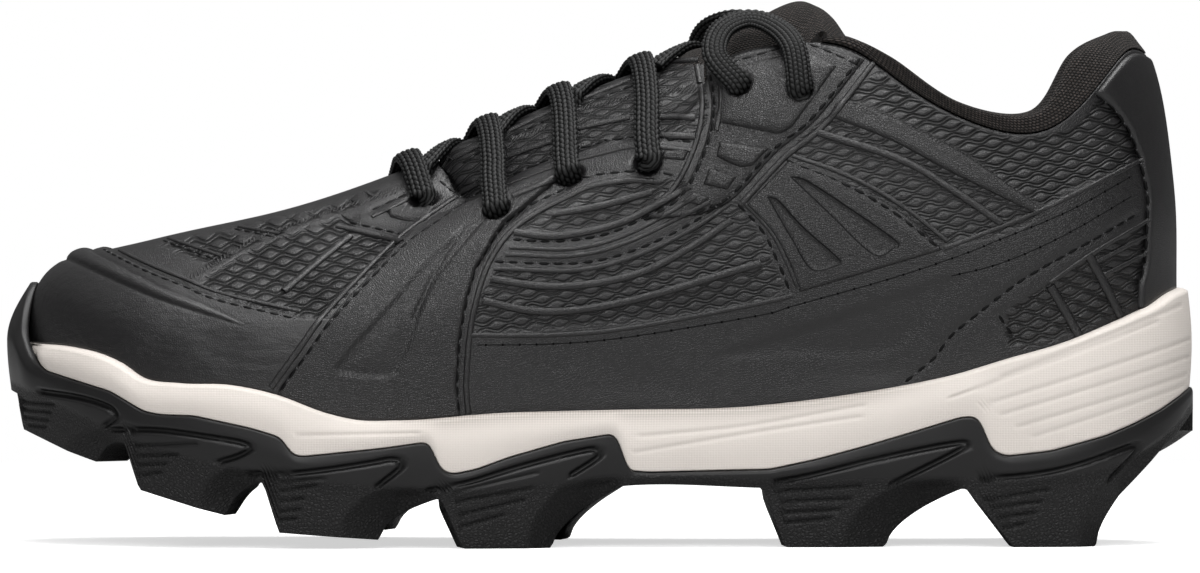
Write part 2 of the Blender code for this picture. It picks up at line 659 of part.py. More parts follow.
# Collar: a padded cuff that hooks over the top line and lines the inside below it
collar_ribs = np.arange(-COLLAR_RIBS, COLLAR_RIBS + 1) * ROUND / RIBS_ROUND
COLLAR_FRONT = collar_ribs[-1]
crest = np.array(CREST)
crest_rows = np.abs(collar_ribs)
crest_points = np.column_stack([curve(list(zip(range(len(crest)), crest[:, c])), crest_rows) for c in range(3)])
crest_points[:, 1] *= -np.sign(collar_ribs)
edge_points = upper_point(collar_ribs, 1.0)
edge_normals = upper_normal(collar_ribs, 1.0)
edge_up = unit(edge_points - upper_point(collar_ribs, 0.97))
pad = COLLAR_PAD * np.clip((COLLAR_FRONT + 0.25 - np.abs(collar_ribs)) / 1.2, 0.3, 1.0)[:, None]
hooked = UPPER_WALL + 0.5


def lining(share, depth):
    """Points inside the upper, a depth in from its outer face."""
    return upper_point(collar_ribs, share) - upper_normal(collar_ribs, share) * depth


collar_loops = (
    edge_points + edge_up * 0.4,
    (edge_points + crest_points) / 2 + edge_normals * COLLAR_ROLL,
    crest_points,
    lining(1.0, pad + hooked) + edge_up * 1.0,
    lining(COLLAR_MID, pad + hooked),
    lining(COLLAR_LOW, 0.6 * pad + hooked),
    lining(COLLAR_LOW, hooked),
    lining(COLLAR_MID, hooked),
    lining(1.0, hooked) + edge_up * 0.4,
)
sections = np.stack(collar_loops, axis=1)
corners = len(collar_loops)
collar_faces = strip_faces(len(sections), corners)
collar_faces += [tuple(range(corners)), tuple(range(corners * (len(sections) - 1), corners * len(sections)))]
add_mesh("collar", sections.reshape(-1, 3), collar_faces, KNIT)

# Tongue: cambered sheet that runs on under the throat's edges, thicker to the top, with a free end
throat_ribs = np.linspace(HALF, 5.5, 400)
throat_x = upper_point(throat_ribs, 1.0)[:, 0]
under_shares = np.array((0.8, 0.9, 1.0))
across = np.linspace(-1, 1, 9)[1:-1]
tongue_grid = []
for x, ridge, _, clear in TONGUE:
    if x > TONGUE_FREE_FROM:
        half = TONGUE_FREE_HALF
        spread = np.linspace(-1, 1, 13) * half
        tongue_grid.append([(x, THROAT_MIDDLE + y, ridge - TONGUE_CAMBER * y * y) for y in spread])
        continue
    k = np.interp(x, throat_x, throat_ribs)
    near, far = [upper_point(rib, under_shares) - upper_normal(rib, under_shares) * (UPPER_WALL + clear)
                 for rib in (k, ROUND - k)]
    middle = (near[-1] + far[-1]) / 2
    reach = (far[-1] - near[-1]) / 2
    arch = middle + reach * across[:, None]
    arch[:, 2] += (ridge - middle[2]) * (1 - across ** 2)
    tongue_grid.append(np.vstack((near, arch, far[::-1])))
tongue = sheet_of_grid("tongue", np.array(tongue_grid), TONGUE_SKIN, TONGUE_THICK, False)
share_group = tongue.vertex_groups.new(name="thickness")
for row, (_, _, thick_share, _) in enumerate(TONGUE):
    share_group.add(list(range(row * 13, row * 13 + 13)), thick_share, 'REPLACE')
tongue.modifiers["wall"].vertex_group = "thickness"

# Laces: a bar over the front of the throat, crossings over the tongue, and a loop at the top of each side
bpy.context.view_layer.update()
evaluated = bpy.context.evaluated_depsgraph_get()
UNDER_LACE = [BVHTree.FromObject(bpy.data.objects[name], evaluated) for name in
              ("upper", "tongue", "wing_lateral", "wing_medial", "eyelet_panel_lateral", "eyelet_panel_medial")]
LACE_LIFT = LACE_THICK / 2 + 1.1
LACE_LOOP_CLEAR = LACE_LOOP_RADIUS + 1.3
LACE_LOOP_LIFT = OVERLAY_GAP + OVERLAY_THICK + LACE_LOOP_CLEAR


def covered_point(x, y):
    """Highest point of the shoe at x, y, lifted by half a lace."""
    hits = [tree.ray_cast(Vector((x * MM, y * MM, 0.3)), Vector((0, 0, -1))) for tree in UNDER_LACE]
    hits = [hit for hit in hits if hit[0] is not None]
    spot, normal = max(hits, key=lambda hit: hit[0].z)[:2]
    return np.array(spot) / MM + np.array(normal) * LACE_LIFT


def taut(path):
    """Path pulled tight: only the points that a stretched lace would touch, then evened out."""
    run = np.concatenate(([0], np.cumsum(np.linalg.norm(np.diff(path[:, :2], axis=0), axis=1))))
    kept = []
    for i in range(len(path)):
        while len(kept) > 1:
            a, b = kept[-2], kept[-1]
            rise_before = (path[b, 2] - path[a, 2]) * (run[i] - run[a])
            rise_through = (path[i, 2] - path[a, 2]) * (run[b] - run[a])
            if rise_before > rise_through:
                break
            kept.pop()
        kept.append(i)
    even = np.linspace(0, run[-1], 10)
    return np.column_stack([np.interp(even, run[kept], path[kept, c]) for c in range(3)])


def lace_run(name, path, home):
    """Flat lace along a path: an eight-sided section that keeps its broad face to the shoe."""
    along = unit(np.gradient(path, axis=0))
    broad = unit(np.cross(along, (0.0, 0.0, 1.0)))
    lift = np.cross(broad, along)
    angles = np.arange(8) * math.pi / 4 + math.pi / 8
    section = (broad[:, None] * np.cos(angles)[None, :, None] * LACE_WIDTH / 2
               + lift[:, None] * np.sin(angles)[None, :, None] * LACE_THICK / 2)
    points = (path[:, None] + section).reshape(-1, 3)
    faces = strip_faces(len(path), 8)
    faces += [tuple(range(8)), tuple(range(len(points) - 8, len(points)))]
    return add_mesh(name, points, faces, LACE, home=home)


def lace_over(first, aim, shares):
    """Points that lie on the shoe between a spot above a lace hole and the plan of where the lace aims."""
    return np.vstack((first, [covered_point(*(first[:2] + (aim - first[:2]) * t)) for t in shares]))


def above_hole(number, lateral, lift):
    middle, normal = eyelet(number, lateral)
    return middle + normal * lift


bar_ends = [above_hole(0, is_lateral, LACE_LIFT + 0.4) for is_lateral in (True, False)]
bar = lace_over(bar_ends[0], bar_ends[1][:2], np.linspace(0.15, 0.85, 22))
lace_run("lace_bar", taut(np.vstack((bar, bar_ends[1]))), PARTS)

for number in (1, 2, 3):
    runs = []
    for is_lateral in (True, False):
        start = above_hole(number, is_lateral, LACE_LIFT + OVERLAY_GAP + OVERLAY_THICK)
        aim = eyelet(number + 1, not is_lateral)[0]
        runs.append(taut(lace_over(start, aim[:2], np.linspace(0.12, 0.7, 22))))
    crossing = lace_run(f"lace_crossing_{number}", runs[0], PARTS)
    other = lace_run(f"lace_crossing_{number}_far", runs[1], CUTTERS)
    show_as_cutter(other)
    join = crossing.modifiers.new("other run", 'BOOLEAN')
    join.operation = 'UNION'
    join.solver = 'EXACT'
    join.object = other


def stand_clear(spot):
    """Spot moved off whatever it is too near to, for the middle of a round lace."""
    for tree in UNDER_LACE:
        touch, normal, _, distance = tree.find_nearest(spot)
        if distance < LACE_LOOP_CLEAR * MM:
            spot = touch + normal * LACE_LOOP_CLEAR * MM
    return spot


for side_name, is_lateral in (("lateral", True), ("medial", False)):
    ends = [above_hole(number, is_lateral, LACE_LOOP_LIFT) for number in (4, 5)]
    arch = np.array(LACE_LOOP)
    arch[:, 1] = THROAT_MIDDLE + arch[:, 1] * (-1 if is_lateral else 1)
    arch[:, 0] -= 0 if is_lateral else EYELETS[4][2]
    knots = np.vstack((ends[0], arch, ends[1]))
    places = np.linspace(0, len(knots) - 1, 11)
    smooth_path = np.column_stack([curve(list(zip(range(len(knots)), knots[:, c])), places) for c in range(3)])
    cord = bpy.data.curves.new(f"lace_loop_{side_name}", 'CURVE')
    cord.dimensions = '3D'
    cord.bevel_depth = LACE_LOOP_RADIUS * MM
    cord.bevel_resolution = 2
    cord.use_fill_caps = True
    spline = cord.splines.new('POLY')
    spline.points.add(len(places) - 1)
    for point, spot in zip(spline.points, smooth_path):
        point.co = (*stand_clear(Vector(spot * MM)), 1.0)
    cord.materials.append(LACE)
    PARTS.objects.link(bpy.data.objects.new(cord.name, cord))
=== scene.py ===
# %% [markdown]
# # Softball cleat, left shoe
# A low moulded cleat stands empty on its studs with its outer side to the camera. The solids of the part
# give the frame, and each one is replaced here by a finer piece, so the last's tables come first.

# %% Frame and the solids
import math

import bmesh
import bpy
import numpy as np
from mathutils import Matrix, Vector
from mathutils.bvhtree import BVHTree


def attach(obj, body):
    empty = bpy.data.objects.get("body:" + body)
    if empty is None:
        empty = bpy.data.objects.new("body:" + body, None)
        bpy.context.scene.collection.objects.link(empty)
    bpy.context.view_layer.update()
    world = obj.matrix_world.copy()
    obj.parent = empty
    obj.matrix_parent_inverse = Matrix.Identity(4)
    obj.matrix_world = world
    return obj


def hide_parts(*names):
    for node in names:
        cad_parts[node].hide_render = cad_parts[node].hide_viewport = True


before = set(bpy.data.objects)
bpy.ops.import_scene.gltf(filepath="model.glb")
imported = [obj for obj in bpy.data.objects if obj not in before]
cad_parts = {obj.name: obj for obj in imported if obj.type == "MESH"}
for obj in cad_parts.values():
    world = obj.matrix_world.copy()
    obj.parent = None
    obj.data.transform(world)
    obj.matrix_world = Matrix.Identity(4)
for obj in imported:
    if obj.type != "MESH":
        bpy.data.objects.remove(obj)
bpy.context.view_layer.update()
MM = 0.001

# %% [markdown]
# ## Camera
# The photo is a nearly level side view from far off, so a long lens stands well back and a little above the
# floor. Pixels of the photo turn into millimetres of the shoe with one scale, and seams can be read
# straight off the picture.

# %% Camera and the photo's scale
PHOTO_WIDE, PHOTO_HIGH = 1200, 573
PX = 280.0 / 1193.0
PX_MIDDLE, PX_FLOOR = 601.5, 545.5
CAMERA_AWAY = 4000.0
CAMERA_RISE = math.radians(1.0)
SENSOR = 36.0
SHARP_PLANE = 20.0


def side(points):
    """Pixels of the photo to x and z of the shoe, in millimetres."""
    spots = np.array(points, float)
    return np.column_stack(((spots[:, 0] - PX_MIDDLE) * PX, (PX_FLOOR - spots[:, 1]) * PX))


scene = bpy.context.scene
lens = bpy.data.cameras.new("photo_camera")
lens.sensor_width = SENSOR
lens.lens = SENSOR * CAMERA_AWAY / (PHOTO_WIDE * PX)
camera = bpy.data.objects.new("photo_camera", lens)
middle_x, middle_z = side([(PHOTO_WIDE / 2, PHOTO_HIGH / 2)])[0]
aim = Vector((middle_x, -SHARP_PLANE, middle_z))
camera.location = (aim + Vector((0.0, -math.cos(CAMERA_RISE), math.sin(CAMERA_RISE))) * CAMERA_AWAY) * MM
camera.rotation_euler = (math.pi / 2 - CAMERA_RISE, 0.0, 0.0)
scene.collection.objects.link(camera)
scene.camera = camera
print(f"lens {lens.lens:.0f} mm at {CAMERA_AWAY / 1000:.1f} m")

# %% [markdown]
# ## Studio
# Product shots of black shoes use a white sweep and large soft boxes: one overhead and one in front. The
# world and the table show white to the camera only, and light the shoe with less, so black keeps its depth.

# %% Floor, world and lights
FLOOR_HALF = 1.6
SKY_HIGH, SKY_LOW, SKY_FULL = 0.36, 0.06, 0.9
TABLE_GLOW = 0.61
FLOOR_BOUNCE = (0.45, 0.45, 0.45, 1.0)
GLOW_FROM, GLOW_FULL = 0.2, 0.7
WHITE = (1.0, 1.0, 1.0, 1.0)
LIGHT_AIM = Vector((0.0, 0.0, 0.06))
LIGHTS = (
    # name, position in metres, size, size across, watts
    ("overhead_box", (0.12, -0.05, 1.2), 1.5, 0.7, 20.0),
    ("front_box", (0.1, -1.6, 0.9), 1.9, 0.7, 17.0),
)
scene.view_settings.view_transform = 'Standard'

floor_mesh = bpy.data.meshes.new("floor")
corners = [(-FLOOR_HALF, -FLOOR_HALF, 0), (FLOOR_HALF, -FLOOR_HALF, 0), (FLOOR_HALF, FLOOR_HALF, 0),
           (-FLOOR_HALF, FLOOR_HALF, 0)]
floor_mesh.from_pydata(corners, [], [(0, 1, 2, 3)])
floor = bpy.data.objects.new("floor", floor_mesh)
scene.collection.objects.link(floor)


def connect(tree, place, value):
    """Link an input to a socket, bare or wrapped, or set its value."""
    value = getattr(value, "socket", value)
    if hasattr(value, "is_output"):
        tree.links.new(value, place)
    else:
        place.default_value = value


def add_node(tree, kind, settings, links):
    """A node with its settings made and its inputs linked or set."""
    node = tree.nodes.new(kind)
    for name, value in settings.items():
        setattr(node, name, value)
    for name, value in links.items():
        connect(tree, node.inputs[name], value)
    return node


sweep = bpy.data.materials.new("light_table")
sweep.use_nodes = True
table = sweep.node_tree
paper = table.nodes["Principled BSDF"]
paper.inputs["Base Color"].default_value = (0.9, 0.9, 0.9, 1.0)
paper.inputs["Roughness"].default_value = 0.9
paper.inputs["Specular IOR Level"].default_value = 0.0
place = add_node(table, "ShaderNodeTexCoord", {}, {})
away = add_node(table, "ShaderNodeVectorMath", {"operation": 'LENGTH'}, {0: place.outputs["Object"]})
spread = add_node(table, "ShaderNodeMapRange", {}, {"Value": away.outputs["Value"], "From Min": GLOW_FROM,
                                                    "From Max": GLOW_FULL})
seen_ray = add_node(table, "ShaderNodeLightPath", {}, {})
glow = add_node(table, "ShaderNodeEmission", {}, {"Color": WHITE, "Strength": TABLE_GLOW})
white_glow = add_node(table, "ShaderNodeEmission", {}, {"Color": WHITE, "Strength": 1.0})
near_shoe = add_node(table, "ShaderNodeAddShader", {}, {0: paper.outputs[0], 1: glow.outputs[0]})
lit = add_node(table, "ShaderNodeMixShader", {}, {0: spread.outputs[0], 1: near_shoe.outputs[0],
                                                  2: white_glow.outputs[0]})
dull = add_node(table, "ShaderNodeBsdfDiffuse", {}, {"Color": FLOOR_BOUNCE})
lit = add_node(table, "ShaderNodeMixShader", {}, {0: seen_ray.outputs["Is Camera Ray"], 1: dull.outputs[0],
                                                  2: lit.outputs[0]})
connect(table, table.nodes["Material Output"].inputs["Surface"], lit.outputs[0])
floor_mesh.materials.append(sweep)

world = bpy.data.worlds.new("studio")
world.use_nodes = True
scene.world = world
sky = world.node_tree
way = add_node(sky, "ShaderNodeTexCoord", {}, {})
axes = add_node(sky, "ShaderNodeSeparateXYZ", {}, {0: way.outputs["Generated"]})
height = add_node(sky, "ShaderNodeMapRange", {},
                  {"Value": axes.outputs["Z"], "From Min": 0.0, "From Max": SKY_FULL,
                   "To Min": SKY_LOW, "To Max": SKY_HIGH})
dim = add_node(sky, "ShaderNodeBackground", {}, {"Color": WHITE, "Strength": height.outputs[0]})
white = add_node(sky, "ShaderNodeBackground", {}, {"Color": WHITE, "Strength": 1.0})
ray = add_node(sky, "ShaderNodeLightPath", {}, {})
blend = add_node(sky, "ShaderNodeMixShader", {}, {0: ray.outputs["Is Camera Ray"], 1: dim.outputs[0],
                                                  2: white.outputs[0]})
connect(sky, sky.nodes["World Output"].inputs["Surface"], blend.outputs[0])

for name, spot, long, across, watts in LIGHTS:
    box = bpy.data.lights.new(name, 'AREA')
    box.shape = 'RECTANGLE'
    box.size, box.size_y = long, across
    box.energy = watts
    lamp = bpy.data.objects.new(name, box)
    lamp.location = spot
    lamp.rotation_euler = (LIGHT_AIM - Vector(spot)).to_track_quat('-Z', 'Y').to_euler()
    scene.collection.objects.link(lamp)
print(len(LIGHTS), "soft boxes over a light table")

# %% [markdown]
# ## The last
# The upper is drawn over a last by ribs: each one starts at the foam rim, passes a shoulder and ends at the
# top line. The tables are those of the part's source, but the throat's corner stands higher here and the
# front of the rubber's edge turns up further forward, as in the photo.

# %% Sizes and tables of the form, in millimetres
GAP = 0.3
UPPER_WALL = 2.0
OVERLAY_LIFT = 0.95
RUBBER_WALL = 2.2
PLATE_THICK = 3.0
RIM_THICK = 3.7
FOAM_INSET = 0.8
INSOLE_THICK = 4.0
LACE_WIDTH = 6.0
LACE_THICK = 2.4
COLLAR_PAD = 8.0
COLLAR_ROLL = 1.1
COLLAR_MID = 0.85
COLLAR_LOW = 0.68
COLLAR_FRONT = 10 * 30 / 52
TONGUE_CAMBER = 0.0305
TONGUE_FREE_FROM = 48.0
TONGUE_FREE_HALF = 15.0
TONGUE_THICK = 8.0
THROAT_MIDDLE = 0.5
RIB_SWEEP = 0.6
SHOULDER_PULL = 0.36
BUMPER_OUT = 1.0
STUD_DEPTH_TIP = 9.0
STUD_DEPTH_ROOT = 17.0

# Plan of the sole: x, lateral edge, medial edge
SOLE = (
    (139.5, 0.0, 0.0), (133.0, -20.0, 20.0), (116.0, -32.3, 32.3), (92.0, -36.3, 36.0),
    (66.0, -36.6, 35.0), (42.0, -37.2, 33.8), (18.0, -39.8, 34.0), (-6.0, -43.3, 36.8),
    (-24.0, -46.3, 40.2), (-40.0, -48.5, 43.8), (-62.0, -50.0, 48.3), (-86.0, -48.0, 50.0),
    (-108.0, -40.5, 47.0), (-124.0, -28.0, 39.5), (-136.0, -9.5, 26.0), (-139.5, 9.0, 9.0),
)
# Shoulder of the upper: x, lateral, medial, z, turn towards the top's line, fullness below
SHOULDER = (
    (133.9, 0.0, 0.0, 85.8, 0.5, 0.4), (129.5, -17.0, 17.0, 86.0, 0.5, 0.4),
    (117.0, -29.0, 29.0, 82.0, 0.5, 0.4), (98.0, -34.0, 33.5, 72.0, 0.5, 0.4),
    (76.0, -35.0, 33.5, 69.0, 0.5, 0.4), (54.0, -34.8, 33.2, 69.0, 0.5, 0.4),
    (34.0, -35.2, 33.0, 73.0, 0.5, 0.4), (14.0, -36.2, 34.2, 73.0, 0.5, 0.4),
    (0.0, -37.6, 36.2, 71.5, 0.5, 0.4), (-14.0, -39.6, 38.6, 68.5, 0.5, 0.4),
    (-34.0, -41.6, 42.0, 63.0, 0.5, 0.4), (-56.0, -41.0, 43.5, 59.5, 0.55, 0.4),
    (-78.0, -35.0, 42.0, 59.5, 0.65, 0.42), (-95.0, -24.0, 35.5, 64.5, 0.8, 0.46),
    (-103.5, -9.0, 23.0, 70.2, 0.98, 0.52), (-106.0, 6.0, 6.0, 71.5, 1.1, 0.54),
)
# Top line of the upper: x, lateral, medial, z, lean of the wall in degrees, length of that lean
TOP = (
    (128.4, 0.0, 0.0, 115.0, 16.0, 0.3), (125.0, -11.0, 11.0, 116.3, 16.0, 0.3),
    (118.6, -22.5, 22.5, 110.4, 14.0, 0.3), (104.8, -31.0, 31.0, 97.8, 10.0, 0.3),
    (86.5, -31.5, 31.5, 99.4, 12.0, 0.3), (70.1, -27.5, 27.5, 108.6, 26.0, 0.3),
    (56.0, -22.0, 22.0, 117.2, 36.0, 0.3), (38.0, -18.5, 19.5, 117.0, 42.0, 0.3),
    (27.0, -18.5, 20.0, 113.0, 44.0, 0.3), (21.5, -21.5, 23.5, 106.0, 44.0, 0.3),
    (1.0, -23.5, 26.5, 95.0, 45.0, 0.3), (-18.0, -21.5, 25.5, 88.0, 50.0, 0.3),
    (-31.5, -16.5, 22.0, 81.5, 55.0, 0.34), (-36.0, -9.0, 16.0, 86.0, 55.0, 0.44),
    (-39.0, -3.0, 10.0, 89.6, 56.0, 0.54), (-40.0, 3.5, 3.5, 90.6, 56.0, 0.58),
)
# Crest of the padded collar: x, half width, z
CREST = ((122.6, 0.0, 120.4), (119.0, 10.0, 119.9), (110.6, 21.5, 115.0), (101.5, 29.0, 101.6),
         (84.0, 29.5, 104.0), (68.0, 25.0, 114.4), (58.3, 20.0, 119.2))
# Foam rim, top edge of the rubber, underside of the plate and foam bed: x, z
RIM = (
    (139.5, 60.2), (136.5, 59.2), (131.1, 56.2), (126.6, 54.4), (117.7, 51.0), (108.8, 47.8),
    (95.2, 44.1), (81.8, 40.2), (75.4, 38.8), (58.3, 35.8), (46.6, 34.2), (34.9, 33.0), (4.3, 32.3),
    (-23.8, 31.6), (-47.3, 30.0), (-57.4, 30.2), (-63.7, 31.6), (-76.2, 36.0), (-87.2, 38.2),
    (-100.1, 38.6), (-108.8, 39.8), (-114.2, 43.1), (-119.6, 45.2), (-126.6, 46.6), (-139.5, 47.2),
)
RUBBER_EDGE = (
    (139.5, 36.8), (136.5, 34.7), (131.5, 31.6), (125.0, 28.5), (118.4, 25.9), (105.3, 22.4),
    (94.6, 21.2), (91.4, 22.6), (90.0, 25.2), (89.4, 28.6), (87.6, 30.4), (84.3, 30.4), (71.9, 26.6),
    (61.1, 23.4), (50.3, 20.5), (39.5, 18.2), (11.0, 17.6), (6.2, 18.0), (5.4, 20.6), (4.9, 24.2),
    (2.8, 26.6), (-8.8, 24.8), (-21.5, 21.2), (-29.2, 18.4), (-34.8, 17.3), (-37.6, 18.6), (-38.7, 21.0),
    (-39.2, 23.8), (-41.0, 24.8), (-51.0, 23.4), (-69.8, 21.5), (-72.4, 22.0), (-73.6, 24.4),
    (-75.0, 26.0), (-82.0, 28.1), (-95.4, 30.9), (-103.4, 31.1), (-107.2, 31.8), (-115.4, 36.4),
    (-125.0, 39.1), (-131.0, 40.8), (-134.6, 43.6), (-137.2, 49.0), (-138.6, 56.0), (-139.5, 61.4),
)
TREAD = (
    (139.5, 31.5), (136.0, 27.0), (128.0, 20.5), (118.0, 16.4), (105.0, 14.4), (85.0, 13.7), (40.0, 13.9),
    (8.0, 14.7), (-10.0, 13.0), (-38.0, 11.6), (-60.0, 13.2), (-80.0, 15.6), (-100.0, 20.4),
    (-113.0, 24.8), (-125.0, 30.0), (-133.0, 33.5), (-139.5, 36.0),
)
BED = (
    (139.5, 44.0), (120.0, 43.5), (90.0, 40.0), (60.0, 34.0), (30.0, 29.0), (0.0, 26.5), (-30.0, 24.0),
    (-55.0, 23.6), (-80.0, 27.5), (-100.0, 31.5), (-120.0, 37.5), (-139.5, 42.5),
)
# Studs of one side: front, ridge and rear at the tip and at the root, tip height at front and rear, and
# the shift of the medial one
STUDS = {
    "toe": (-136.4, -126.0, -120.5, -137.8, -119.5, -112.5, 27.0, 19.8, 0.0),
    "joint": (-109.0, -95.0, -89.0, -111.8, -90.0, -80.0, 13.6, 7.6, 3.0),
    "ball": (-75.5, -61.0, -51.2, -79.0, -54.5, -38.5, 3.8, 2.0, 4.0),
    "tread": (-32.0, -17.0, -10.4, -37.2, -11.0, 5.0, 0.0, 0.0, 4.0),
    "arch": (43.1, 56.4, 66.6, 38.0, 66.8, 84.0, 0.0, 0.0, 0.0),
    "heel": (96.6, 112.6, 118.2, 85.4, 120.0, 132.5, 0.0, 0.0, 0.0),
}
# Lace holes: x and z on the lateral side, how far forward and down the medial one is
EYELETS = ((-41.7, 81.1, 7.0, 1.5), (-24.3, 78.3, 7.0, 2.5), (-7.4, 87.0, 7.0, 2.5),
           (10.9, 90.5, 7.0, 2.5), (32.5, 107.1, 3.0, 1.0), (46.8, 106.4, 3.0, 1.0))
# Ridge of the tongue: x, z, share of full thickness, clearance under the throat's edges
TONGUE = (
    (-38.5, 91.2, 0.4, 0.7), (-34.0, 94.0, 0.4, 0.7), (-28.5, 96.8, 0.42, 0.7), (-19.1, 100.8, 0.45, 0.7),
    (-9.0, 105.0, 0.48, 0.7), (2.0, 109.0, 0.52, 0.7), (12.0, 112.7, 0.56, 1.2), (19.5, 115.2, 0.6, 2.6),
    (28.5, 118.8, 0.7, 2.6), (34.0, 122.2, 0.85, 1.2), (40.0, 125.7, 0.95, 0.7), (45.6, 127.7, 1.0, 0.7),
    (50.5, 126.9, 0.9, 0.0), (54.5, 123.8, 0.75, 0.0), (57.5, 119.6, 0.6, 0.0),
)
# Lace loop between the top two holes: x, distance off the throat's middle, z
LACE_LOOP = ((26.6, 24.6, 115.0), (28.2, 18.0, 121.0), (34.4, 14.2, 123.6), (40.6, 17.6, 121.8),
             (45.0, 25.8, 117.0))
# Upper edge of the toe cap: x, z
TOE_SEAM = ((-122.0, 70.5), (-117.5, 69.4), (-106.7, 64.6), (-98.0, 61.1), (-89.5, 57.9), (-70.8, 53.6))
HALF = len(SOLE) - 1
ROUND = 2 * HALF
print("ribs round the shoe", ROUND)

# %% [markdown]
# A spline round the shoe joins the ribs, and two Bezier runs, one under the shoulder and one above, make
# each rib. A point of the upper is then named by a rib number and the share of the way up that rib.


# %% Curves and the upper's face
def line(table, x):
    """Height read from an (x, z) table with straight runs."""
    rows = np.array(sorted(table))
    return np.interp(x, rows[:, 0], rows[:, 1])


def curve(table, x):
    """Height read from an (x, z) table with smooth runs."""
    rows = np.array(sorted(table))
    knots, heights = rows[:, 0], rows[:, 1]
    slopes = np.gradient(heights, knots)
    x = np.clip(x, knots[0], knots[-1])
    i = np.clip(np.searchsorted(knots, x) - 1, 0, len(knots) - 2)
    run = knots[i + 1] - knots[i]
    t = (x - knots[i]) / run
    start = (1 + 2 * t) * (1 - t) ** 2 * heights[i] + t * (1 - t) ** 2 * run * slopes[i]
    return start + t * t * (3 - 2 * t) * heights[i + 1] + t * t * (t - 1) * run * slopes[i + 1]


def smooth_rows(rows, where):
    """Rows of numbers read at fractional row numbers, with smooth runs."""
    rows = np.asarray(rows, float)
    return np.stack([curve(list(enumerate(rows[:, c])), where) for c in range(rows.shape[1])], axis=-1)


def round_rows(table):
    """Rows with a lateral and a medial column, made into one closed list: lateral first, then medial."""
    rows = np.array(table)
    near = np.delete(rows, 2, axis=1)
    far = np.delete(rows, 1, axis=1)
    return np.vstack((near, far[-2:0:-1]))


def closed_spline(rows, where):
    """Smooth closed curve through the rows, read at fractional row numbers."""
    count = len(rows)
    ahead, behind = np.roll(rows, -1, axis=0), np.roll(rows, 1, axis=0)
    unit_rows = np.eye(count)
    band = 4 * unit_rows + np.roll(unit_rows, 1, axis=1) + np.roll(unit_rows, -1, axis=1)
    bend = np.linalg.solve(band, 6 * (behind - 2 * rows + ahead))
    first = np.floor(where).astype(int)
    b = (where - first)[:, None]
    a = 1 - b
    i, j = first % count, (first + 1) % count
    return a * rows[i] + b * rows[j] + ((a ** 3 - a) * bend[i] + (b ** 3 - b) * bend[j]) / 6


SOLE_RING, SHOULDER_RING, TOP_RING = round_rows(SOLE), round_rows(SHOULDER), round_rows(TOP)


def outline(where):
    """Plan of the sole and its outward normals at fractional rib numbers."""
    where = np.asarray(where, float)
    along = closed_spline(SOLE_RING, where + 0.01) - closed_spline(SOLE_RING, where - 0.01)
    along /= np.linalg.norm(along, axis=1)[:, None]
    return closed_spline(SOLE_RING, where), np.stack((-along[:, 1], along[:, 0]), axis=1)


def unit(vectors):
    return vectors / np.maximum(np.linalg.norm(vectors, axis=-1, keepdims=True), 1e-9)


def bezier(points, t):
    a, b, c, d = points
    return a * (1 - t) ** 3 + 3 * b * t * (1 - t) ** 2 + 3 * c * t * t * (1 - t) + d * t ** 3


def upper_point(where, share):
    """Outer face of the upper: rib number round the shoe, share of the way from rim (0) to top line (1)."""
    where, share = np.broadcast_arrays(np.asarray(where, float), np.asarray(share, float))
    shape = where.shape
    where, share = where.ravel(), share.ravel()[:, None]
    plan, out = outline(where)
    out = np.column_stack((out, np.zeros(len(out))))
    base = np.column_stack((plan - out[:, :2] * (FOAM_INSET + RIM_THICK + GAP), curve(RIM, plan[:, 0])))
    shoulder = closed_spline(SHOULDER_RING, where)
    top = closed_spline(TOP_RING, where)
    turn, full = shoulder[:, 3:4], shoulder[:, 4:5]
    lean, pull = np.radians(top[:, 3:4]), top[:, 4:5]
    shoulder, top = shoulder[:, :3], top[:, :3]
    low, high = shoulder - base, top - shoulder
    low_long = np.linalg.norm(low, axis=1, keepdims=True)
    high_long = np.linalg.norm(high, axis=1, keepdims=True)
    up, forward = np.array((0.0, 0.0, 1.0)), np.array((1.0, 0.0, 0.0))
    at_base = unit(up + forward * RIB_SWEEP * np.clip(1 - turn, 0, 1) * low[:, :1] / low_long)
    at_shoulder = unit(turn * high / high_long + (1 - turn) * low / low_long)
    at_top = unit(up * np.cos(lean) - out * np.sin(lean) + forward * RIB_SWEEP * high[:, :1] / high_long)
    lower = bezier((base, base + at_base * full * low_long,
                    shoulder - at_shoulder * full * low_long, shoulder), np.clip(share * 2, 0, 1))
    higher = bezier((shoulder, shoulder + at_shoulder * SHOULDER_PULL * high_long,
                     top - at_top * pull * high_long, top), np.clip(share * 2 - 1, 0, 1))
    return np.where(share < 0.5, lower, higher).reshape(shape + (3,))


def upper_normal(where, share):
    """Outward unit normal of the upper's outer face."""
    where, share = np.broadcast_arrays(np.asarray(where, float), np.asarray(share, float))
    around = upper_point(where + 0.03, share) - upper_point(where - 0.03, share)
    low, high = np.clip(share - 0.015, 0, 1), np.clip(share + 0.015, 0, 1)
    upward = upper_point(where, high) - upper_point(where, low)
    return unit(np.cross(upward, around))


FIND_RIBS = np.linspace(0.2, HALF - 0.1, 441)
FIND_SHARES = np.linspace(0.0, 1.0, 201)
FIND_FACES = {lateral: upper_point((FIND_RIBS if lateral else ROUND - FIND_RIBS)[:, None],
                                   FIND_SHARES[None, :])
              for lateral in (True, False)}


def find_on_upper(lateral, x, z):
    """Rib number and share of the point of one side that stands at x, z in the side view."""
    face = FIND_FACES[lateral]
    off = (face[..., 0] - x) ** 2 + (face[..., 2] - z) ** 2
    i, j = np.unravel_index(np.argmin(off), off.shape)
    return FIND_RIBS[i] if lateral else ROUND - FIND_RIBS[i], FIND_SHARES[j]


